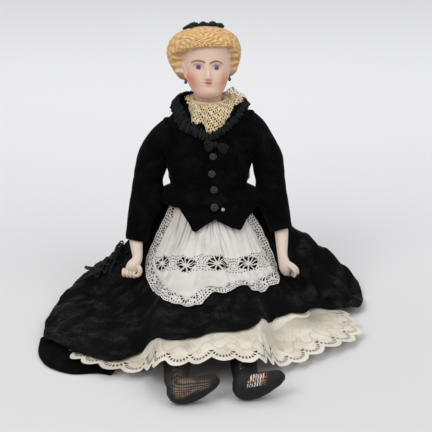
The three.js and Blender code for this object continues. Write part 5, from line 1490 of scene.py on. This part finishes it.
def rightHand(palm, reach):
    # a fist: four fingers curl forward and under, and the thumb crosses to them round a hole
    patches = [limb(reach + placedFrom(palm, arms["fist"]), -1, 48, (1, 0, 0), 110)]
    for k in range(4):
        root = palm + [9.2 - k * 3.3, -1.0, -1.0 - 0.5 * k]
        curl = root + np.array(arms["curl"])
        patches.append(limb([list(p) + [1.9 - 0.1 * k, 1.8] for p in curl], -1, 16, (1, 0, 0), 26))
    patches.append(limb(placedFrom(palm, arms["thumb"]), -1, 20, (0, 0, 1), 34))
    return patches


def leftHand(palm, reach):
    # a cupped hand: the thumb lies along the front and the fingers curl in under it
    patches = [limb(reach + placedFrom(palm, arms["cup"]), 1, 48, (1, 0, 0), 110)]
    for finger in arms["fingers"]:
        stations = [list(p) + [r, r] for p, r in zip(palm + np.array(finger), arms["fingerSizes"])]
        patches.append(limb(stations, 1, 18, (0, 1, 0), 30))
    return patches


def makeForearm(name, arm):
    # a round limb from stump to wrist that runs on into the hand
    places = (arm["cuff"], arm["wrist"], arm["palm"], arms["stump"])
    cuff, wrist, palm, stump = [np.array(place, float) for place in places]
    path = [stump, stump + [0.7, -1.2, -3.2], mix(stump, cuff, 0.5), cuff, mix(cuff, wrist, 0.5), wrist]
    reach = [list(p) + s for p, s in zip(path, arms["girths"])]
    patches = rightHand(palm, reach) if arm["side"] < 0 else leftHand(palm, reach)
    makePiece("bisqueForearm_" + name, painted(patches, colours["arm"]), [bisque], body="arm_" + name,
              stands=["forearm_" + name])


def makeUpperArm(name, arm):
    # the arm's ovals 3 mm smaller, drawn in at both ends
    dense, turn, t = armGrid(arm, 120, 48, 0.86)
    ends = np.sqrt(np.clip(1 - ((t - 0.43) / 0.435) ** 10, 0.02, 1))
    pucker = 0.3 * np.sin(turn * 14) * bell(t, 0.84, 0.03)
    grow = (dense[..., 9:10] - 3) * (ends - 1) - 3 + pucker
    points = armPoints(dense, turn, grow, arm["side"])
    makePiece("stuffedArm_" + name, [capped(points, flip=arm["side"] > 0)], [cotton],
              body="arm_" + name, stands=["upper_arm_" + name])


for name in ("right", "left"):
    makeSleeve(name, arms[name])
    makeForearm(name, arms[name])
    makeUpperArm(name, arms[name])
print("jacket and arms made")


# Legs: stuffed thighs and lower legs, and the openwork stockings over them.

stuffed = {
    "knee": -135, "seamGap": 0.4, "hip": -22, "stockingTop": -172, "stocking": 1.25, "rise": 1.5,
    "ankle": -222, "heelHalf": [7.5, 8.5],
    "foot": [
        [-10.5, 0, 11.5, 3, 3.5], [-7.5, 0, 11.2, 7.2, 8.2], [0, 0, 11, 8.6, 10.4], [10, 1, 11.8, 8, 10.4],
        [19, 2, 14.2, 7, 9], [26, 3, 16.8, 5.6, 7], [30.5, 3.4, 18.2, 3.8, 5], [33, 3.5, 18.8, 1.2, 1.6],
    ],
}


def legGrid(leg, heights, grow, columns, count):
    # rows across the leg from a table of places along it and half heights, with its ends drawn in
    y = np.linspace(heights[0][0], heights[-1][0], count)[:, None]
    radius, centre = along(legs["table"], y)
    high = np.minimum(along(sorted(heights), y)[0], radius)
    turn = turnsRound(columns)
    pucker = 0.25 * np.sin(turn * 13) * smooth(radius, 0.4 * radius, high)
    wide = radius + grow - pucker
    x = legCentreX(leg, y) + wide * np.cos(turn)
    return gridOf(x, y, centre + (high + grow) * np.sin(turn))


def heelRing(leg, grow, columns):
    # the oval that closes the shin behind the heel
    turn = turnsRound(columns)
    centre = along(legs["table"], leg["footY"])[1]
    wide, high = stuffed["heelHalf"]
    x = leg["heel"] + (wide + grow) * np.cos(turn)
    return gridOf(x, leg["footY"] - 1 - grow, centre + (high + grow) * np.sin(turn))


def footGrid(leg, grow, columns, count):
    # ovals along the foot from heel to toe, and their turns
    row = smoothPath(stuffed["foot"], count)[:, None]
    turn = turnsRound(columns)
    # what is added to the foot is rounded off at its heel and toe
    t = np.linspace(-1, 1, count)[:, None]
    ends = grow * t ** 9
    grow = grow * np.sqrt(np.clip(1 - t ** 16, 0.02, 1))
    parts = [
        leg["heel"] + row[..., 0] + ends,
        leg["footY"] + row[..., 1] - (row[..., 3] + grow) * np.cos(turn),
        row[..., 2] + stuffed["rise"] + (row[..., 4] + grow) * np.sin(turn),
    ]
    return gridOf(*parts), turn + 0 * row[..., 0]


def makeThigh(name, leg):
    # flat at hip and knee, where its seams are
    top, end = stuffed["hip"], stuffed["knee"] + stuffed["seamGap"]
    heights = [[top, 0.4], [top - 9, 8.5], [top - 18.5, 17], [end + 16, 17], [end + 8, 7.6], [end, 0.35]]
    makePiece("stuffedThigh_" + name, [capped(legGrid(leg, heights, 0, 72, 110))], [cotton],
              body="thigh_" + name, stands=["thigh_" + name])


def makeLowerLeg(name, leg):
    # a shin that is flat at the knee, and a foot
    start = stuffed["knee"] - stuffed["seamGap"]
    heights = [[start, 0.35], [start - 8, 7.6], [start - 16, 17], [stuffed["ankle"], 17]]
    shin = np.concatenate([legGrid(leg, heights, 0, 72, 90), heelRing(leg, 0, 72)])
    foot = footGrid(leg, 0, 48, 50)[0]
    makePiece("stuffedShin_" + name, [capped(shin), capped(foot, flip=True)], [cotton],
              body="shin_" + name, stands=["lower_leg_" + name])


def stockingPaint(name, leg, points, isSole):
    # brown net stretched thin over one foot; black on the other, darned with pale bars and white stitches
    black, brown, tan = toneOf((22, 19, 18)), toneOf((92, 82, 72)), toneOf((150, 124, 98))
    x, y, z = points[..., 0] - leg["heel"], points[..., 1], points[..., 2]
    paint = np.broadcast_to(black, points.shape).copy()
    brush = brushOn(paint)
    if name == "right":
        brush(0.85 * smooth(-10, -6.5, x) * smooth(12, 6, x) * smooth(12, 16, z), brown)
        sole = isSole * smooth(-7, -3, x) * smooth(29, 22, x)
        lower = 8.5 + 0.35 * np.clip(x, 0, 30)
        brush(sole * smooth(lower, lower + 3, z) * smooth(26, 22, z), tan)
        line = z - 10.5 - 0.5 * (x - 4)
        brush(0.85 * bell(line, 0, 1.0) * smooth(2, 6, x) * smooth(19, 16, x), black)
        brush(0.75 * isSole * smooth(17, 22, z) * smooth(24, 16, x), brown)
        return paint
    white, rust = toneOf((216, 208, 196)), toneOf((150, 84, 46))
    slant = x - 0.25 * (z - 24)
    top = 22.5 + 1.1 * np.clip(slant - 3, 0, 6) + 0.9 * np.sin(slant * 1.9)
    place = smooth(1.6, 3.2, slant) * smooth(19.5, 17.6, slant) * smooth(15.2, 16.6, z - 0.08 * slant)
    place = place * smooth(top + 1, top - 1, z)
    stripe = smooth(-0.35, 0.25, np.sin(slant * 2 * np.pi / 2.1 + 0.5 * np.sin(z * 0.6)))
    stripe = stripe * (0.8 + 0.2 * np.sin(slant * 2.3 + z * 0.7))
    stripe = stripe * (1 - 0.45 * bell(z - 0.2 * slant, 19, 0.5))
    brush(isSole * place * 0.9, rust * 0.5)
    brush(isSole * place * stripe, mix(white, rust, smooth(13, 19, slant)[..., None]))
    brush(isSole * place * stripe * smooth(15, 19, slant), rust)
    seam = x + 7.5 - (-190 - y) * 0.11
    dashes = smooth(-0.2, 0.3, np.sin(y * 2 * np.pi / 3.4)) * smooth(-238, -232, y) * (z > 14)
    brush(0.9 * bell(seam, 0, 0.55) * dashes, white * 0.8)
    brush(0.6 * bell(seam, 2.2, 0.5) * dashes, white * 0.5)
    return paint


def stockingUv(points):
    # across the leg, and its height and length together
    return np.stack([points[..., 0], points[..., 2] - 0.4 * points[..., 1]], -1) * mm


def makeStocking(name, leg):
    # the shin and foot again, a net thickness larger
    grow = stuffed["stocking"]
    sag = [[stuffed["stockingTop"], 17], [stuffed["ankle"], 17]]
    shin = np.concatenate([legGrid(leg, sag, grow, 110, 90), heelRing(leg, grow, 110)])
    # small wrinkles at the ankle
    y, z = shin[..., 1], shin[..., 2]
    shin[..., 2] += 0.35 * np.sin(y * 1.1 + 0.12 * shin[..., 0]) * bell(y, -214, 10) * (z > 14)
    foot, turn = footGrid(leg, grow, 130, 120)
    isSole = smooth(-0.1, 0.25, np.cos(turn))
    # the top edge is turned in to the leg, and the heel end is closed
    edge = legGrid(leg, sag, 0.2, 110, 90)[:1]
    heel = shin[-1:].mean(1, keepdims=True) + 0 * shin[:1]
    paint = stockingPaint(name, leg, shin, 0 * shin[..., 0])
    patches = [patch(np.concatenate([edge, shin, heel]), True, uv=repeatEnds(stockingUv(shin)),
                     paint=repeatEnds(paint))]
    patches.append(capped(foot, True, stockingUv(foot), stockingPaint(name, leg, foot, isSole)))
    makePiece("netStocking_" + name, patches, [net], body="shin_" + name, stands=["stocking_" + name])


for name in ("right", "left"):
    makeThigh(name, legs[name])
    makeLowerLeg(name, legs[name])
    makeStocking(name, legs[name])


def makeTorso():
    # stuffed cotton with a seam down each side and the middle
    turn = turnsRound(120, -np.pi)
    height = np.linspace(0, 186, 110)[:, None]
    degrees = np.degrees(turn)
    seam = sum(bell(degrees, line, 1.6) for line in (-180, -90, 0, 90, 180)) * bell(height, 93, 80)
    dimples = 0.25 * np.sin(turn * 9 + height * 0.1) * np.sin(height * 0.16)
    points = figurePoint(turn, height, (0.1 - 0.4 * seam + 0.2 * dimples) * smooth(20, 50, height))
    makePiece("stuffedTorso", [capped(points)], [cotton], stands=["torso"])


makeTorso()
print("legs and torso made")


# Small things: waistbands, sewing tapes, the apron's bow, the sash and its fringe,
# the hair ribbon and the earrings.

small = {
    "waistband": [97.6, 102.4, 0.3, 1.9], "apronBand": [102.6, 107.4, 5.3, 6.2],
    "tapes": {"front_right": -40, "front_left": 40, "back_right": -140, "back_left": 140},
    "tapeHalf": 7, "tapeRise": [149, 155.5],
    "bowHeight": 105, "bowGap": 6.7, "bowReach": 11,
    "bowLoop": [
        [1, 0, 0, 2.5, 2], [12, 2, 6, 6, 3], [28, -1, 13, 9.5, 3], [38, -6, 15, 8, 2.4],
        [41, -7.5, 15, 5, 1],
    ],
    "bowTail": [[1, 1, 0, 2.5, 1.2], [6, 9, -13, 5, 1.2], [10, 20, -25, 6, 1.2]],
    "sash": [-94.5, -85.5, 94],
    # the fringe's net in degrees round and millimetres down
    "net": {"cords": 7, "first": -103, "apart": 2.8, "swing": 1.5, "knots": 8, "top": 91, "drop": 3.6},
    "loops": {"count": 5, "first": -101, "apart": 3.4},
    # a loop at the fringe's top: degrees from its start, distance from the axis and height
    "loop": [[0, 89, 0.6], [-2.2, 90, 5.6], [0.2, 92.5, 8.2], [2.6, 95, 5.0], [1.8, 97, 0.8]],
    "strands": [
        [[-98, 109, 0.2], [-98, 114, 2], [-100, 122, 2.6], [-104, 129, 2.8], [-109, 136, 2]],
        [[-97, 109, 0.2], [-96.6, 114, 2], [-98.6, 122, 2.2], [-102.6, 129, 2.2], [-107, 135, 2]],
        [[-88, 109, 0.2], [-88, 114, 2], [-88, 121, 2.2], [-87, 128, 2.4], [-87, 135, 2]],
        [[-89.4, 109, 0.2], [-89.6, 114, 2], [-89.4, 121, 2], [-88.8, 128, 2.2], [-88.6, 134, 2]],
    ],
    "crown": [
        [-24.8, 273.6], [-20, 276.0], [-14.1, 278.0], [-9.3, 277.4], [-5.5, 278.5], [-0.6, 277.7],
        [3.6, 278.7], [8.1, 277.6], [11.4, 277.2], [14.7, 275.7],
    ],
    "crownY": 12.0,
    "knots": [1.2, 1.7, 2.3, 1.6, 2.4, 1.7, 2.5, 1.7, 2.2, 1.2],
    "ribbonEnd": [[-16, 9, 277.6], [-16.4, 5, 276.6], [-16.4, 1, 275.2]],
    "drop": [[0, 3.2], [0.5, 2.9], [0.45, 1.2], [1.3, 0], [1.5, -1.4], [0.9, -2.8], [0, -3.2]],
}


def makeBand(name, sizes, material, stands):
    # a closed band of four faces round the waist, with a fine ripple from its stitching
    low, high, inner, outer = sizes
    turn = turnsRound(240, -np.pi)
    middle = (low + high) / 2
    rows = [(low, inner), (low, outer), (middle, outer + 0.15), (high, outer), (high, inner), (low, inner)]
    ripple = 0.12 * np.sin(turn * 60)
    grid = [figurePoint(turn, z + 0 * turn, offset + ripple * (offset > inner)) for z, offset in rows]
    makePiece(name, [patch(np.concatenate(grid), True)], [material], stands=stands)


def makeTapes():
    # short woven strips over the edge of the shoulder plate
    half, (low, high) = small["tapeHalf"], small["tapeRise"]
    for name, degrees in small["tapes"].items():
        turn = np.radians(np.linspace(degrees - half, degrees + half, 24))[None, :]
        height = np.linspace(low, high, 20)[:, None]
        points = figurePoint(turn, height + 0 * turn, 0.5 + 0.06 * np.sin(turn * 160) * np.sin(height * 4))
        makePiece("wovenTape_" + name, [patch(points)], [tapeCotton], stands=["sewing_tape_" + name],
                  thickness=0.5)


def makeApronBow():
    # a knot with two loops and two tails, mirrored
    height = small["bowHeight"]
    start = along(figure["table"], height)[1] + small["bowGap"]
    middle = np.array([0, start + small["bowReach"], height])
    patches = []
    for side in (-1, 1):
        for table, towards, folds in ((small["bowLoop"], (0, 0, 1), 5), (small["bowTail"], (1, 0, 0), 4)):
            row = smoothPath(np.array(table, float), 60)
            place = middle + row[:, :3] * [side, 1, 1]
            part = tube(place, row[:, 3], row[:, 4], 40, towards)
            wave = 0.3 * np.sin(part["data"][:, 2] * 1.3 + part["data"][:, 1]) if folds == 5 else 0.2
            part["data"][:, 1] += wave
            patches.append(part)
    patches.append(ball(middle + [0, 1, 0], [4.4, 4.0, 4.4], 24))
    patches.append(tube(np.linspace([0, start, height], middle, 6), 4, 2.6, 16, (1, 0, 0)))
    makePiece("apronBow", patches, [apronCotton], stands=["apron_bow"])


def makeSash():
    # silk drawn into folds that run down from the waist
    low, high, reach = small["sash"]
    turn = np.radians(np.linspace(low, high, 60))[None, :]
    share = np.linspace(0.02, 1, 80)[:, None]
    radius = mix(waistRadius(turn), reach, share)
    turn = np.broadcast_to(turn, radius.shape)
    folds = 0.7 * np.sin(np.degrees(turn) * 2.6 + 0.8 * np.sin(share * 7))
    points = onBase(turn, radius, layers["over"] + 1.6 + folds)
    uv = np.stack([np.degrees(turn) * 1.2, radius], -1) * mm
    piece = makePiece("silkSash", [patch(points, flip=True, uv=uv)], [silk], stands=["sash"],
                      thickness=0.6)


def fringeCordAt(places, radius, count=40):
    # a cord through places on the skirt: degrees, distance and height
    row = smoothPath(np.array(places, float), count)
    turn = np.radians(row[:, 0])
    return tube(onBase(turn, row[:, 1], layers["over"] + 1.2 + row[:, 2]), radius, None, 8, (0, 0, 1))


def makeFringe():
    # knotted net: zigzag cords that meet in knots, loops at its top, and long paired strands
    zigzag, loops = small["net"], small["loops"]
    patches = []
    for k in range(zigzag["cords"]):
        start = zigzag["first"] + zigzag["apart"] * k
        cord = []
        for j in range(zigzag["knots"]):
            turn = start + zigzag["swing"] * (-1) ** (j + k)
            cord.append([turn, zigzag["top"] + zigzag["drop"] * j, 0.8 + 1.6 * (j % 2)])
        patches.append(fringeCordAt(cord, 0.75, 60))
        for turn, reach, lift in cord[::2]:
            knot = onBase(math.radians(turn), reach, layers["over"] + 1.6 + lift)
            patches.append(ball(knot, [1.5, 1.5, 1.3], 10))
    for k in range(loops["count"]):
        start = loops["first"] + loops["apart"] * k
        loop = [[start + turn, reach, lift] for turn, reach, lift in small["loop"]]
        patches.append(fringeCordAt(loop, 0.85))
    for strand in small["strands"]:
        patches.append(fringeCordAt(strand, 1.1))
    makePiece("knottedFringe", patches, [fringeCord], stands=["sash_fringe"])


def makeHairRibbon():
    # ribbon ruched into small puffs along the crown
    crown = np.array(small["crown"])
    across = crown[:, 0]
    centres = np.column_stack([across, small["crownY"] + 0 * across, crown[:, 1], small["knots"]])
    row = smoothPath(centres, 160)
    part = tube(row[:, :3], 1.7 * row[:, 3], row[:, 3], 36, (0, 1, 0))
    data = part["data"]
    data[:, 2] += 0.35 * np.sin(data[:, 0] * 2.6 + data[:, 1] * 0.9) * smooth(272, 278, data[:, 2])
    data[:, 1] += 0.4 * np.sin(data[:, 0] * 1.9 + data[:, 2])
    end = tube(smoothPath(small["ribbonEnd"], 20), 1.6, 0.7, 12, (1, 0, 0))
    makePiece("ruchedHairRibbon", [part, end], [hairBand], stands=["hair_ribbon"])


def makeEarring(name, side):
    # a glass drop below a wire ring
    turn = np.radians(side * 76.0)
    lobe = headPoint(np.array([[turn]]), np.array([[12.0]]))[0][0, 0] + [side * 1.9, 0, 0]
    lobe = posed(lobe) + [0, 0, 1.6]
    profile = smoothPath(small["drop"], 40)
    around = turnsRound(24)
    reach = np.maximum(profile[:, :1], 0.02)
    grid = gridOf(reach * np.cos(around), reach * np.sin(around), profile[:, 1:]) + lobe
    circle = turnsRound(20)[0]
    wire = np.stack([0.9 * np.cos(circle), 0 * circle, 3.0 + 0.9 * np.sin(circle)], -1) + lobe
    patches = [capped(grid, flip=True), tube(wire, 0.22, None, 8, (0, 1, 0), ring=True)]
    makePiece("glassDrop_" + name, patches, [blueBead],
              body="earring_" + name, stands=["earring_" + name])


makeBand("skirtWaistband", small["waistband"], tapeCotton, ["skirt_waistband"])
makeBand("apronWaistband", small["apronBand"], apronCotton, ["apron_band"])
makeTapes()
makeApronBow()
makeSash()
makeFringe()
makeHairRibbon()
makeEarring("right", -1)
makeEarring("left", 1)
print("small pieces made")


# Stage, light and camera.

stage = {
    # the floor's colour behind the doll, its painted shade in front of it, and where the one turns into the
    # other
    "floor": (244, 244, 246), "near": (203, 203, 203), "nearEnd": -0.3, "farEnd": 1.1,
    "world": 0.5, "worldColour": (0.95, 0.955, 0.975, 1),
    # the backdrop in millimetres: half width, distance behind the doll and radius of its bend
    "size": 4500, "back": 3000, "bend": 600,
}


def makeStage():
    # a floor that bends up into a wall behind, painted lighter towards the back: painted shade before the
    # doll and painted light behind it
    finish = Finish("paleFloor", Roughness=0.9, Specular_IOR_Level=0.2)
    # a shade darker before the doll than behind it, as painted shade where the lamps light the floor more,
    # and painted light further back where they light it less
    ahead = finish.add("SeparateXYZ", Vector=finish.objectPlace()).outputs[1]
    tone = finish.ramp(ahead, stage["nearEnd"], stage["farEnd"])
    finish.colour(finish.blend(tone, linear(*stage["near"]), linear(*stage["floor"])))
    size, back, bend = stage["size"], stage["back"], stage["bend"]
    angle = np.linspace(0, np.pi / 2, 24)
    y = np.concatenate([[-size], back + bend * np.sin(angle), [back + bend]])
    z = np.concatenate([[0], bend * (1 - np.cos(angle)), [size]]) - 0.05
    points = gridOf(np.array([-size, size])[:, None], y[None], z[None])
    mesh = bpy.data.meshes.new("backdrop")
    mesh.from_pydata((points.reshape(-1, 3) * mm).tolist(), [], gridFaces(2, len(y)).tolist())
    mesh.polygons.foreach_set("use_smooth", [True] * len(mesh.polygons))
    mesh.materials.append(finish.material)
    floor = bpy.data.objects.new("backdrop", mesh)
    bpy.context.collection.objects.link(floor)


makeStage()
lights = {
    "key": {"place": (-0.9, -1.3, 1.6), "size": 1.2, "power": 24},
    "fill": {"place": (1.3, -1.0, 1.1), "size": 1.4, "power": 11},
    "top": {"place": (0.0, 0.3, 1.9), "size": 1.6, "power": 12},
}
for name, lamp in lights.items():
    data = bpy.data.lights.new(name, "AREA")
    data.energy, data.size = lamp["power"], lamp["size"]
    light = bpy.data.objects.new(name, data)
    light.location = lamp["place"]
    aim = np.array([0, 0, 0.1]) - np.array(lamp["place"])
    tilt = math.acos(-aim[2] / np.linalg.norm(aim))
    light.rotation_euler = (tilt, 0, math.atan2(aim[1], aim[0]) - math.pi / 2)
    bpy.context.collection.objects.link(light)

world = bpy.data.worlds.new("room")
world.use_nodes = True
background = world.node_tree.nodes["Background"]
background.inputs["Color"].default_value = stage["worldColour"]
background.inputs["Strength"].default_value = stage["world"]
bpy.context.scene.world = world

camera = bpy.data.objects.new("camera", bpy.data.cameras.new("camera"))
camera.data.lens = 125
camera.data.sensor_width = 36
camera.location = (0.007, -1.40954, 0.59903)
camera.rotation_euler = (math.radians(70), 0, 0)
bpy.context.collection.objects.link(camera)
bpy.context.scene.camera = camera
bpy.context.scene.view_settings.view_transform = "Standard"
print("stage made")
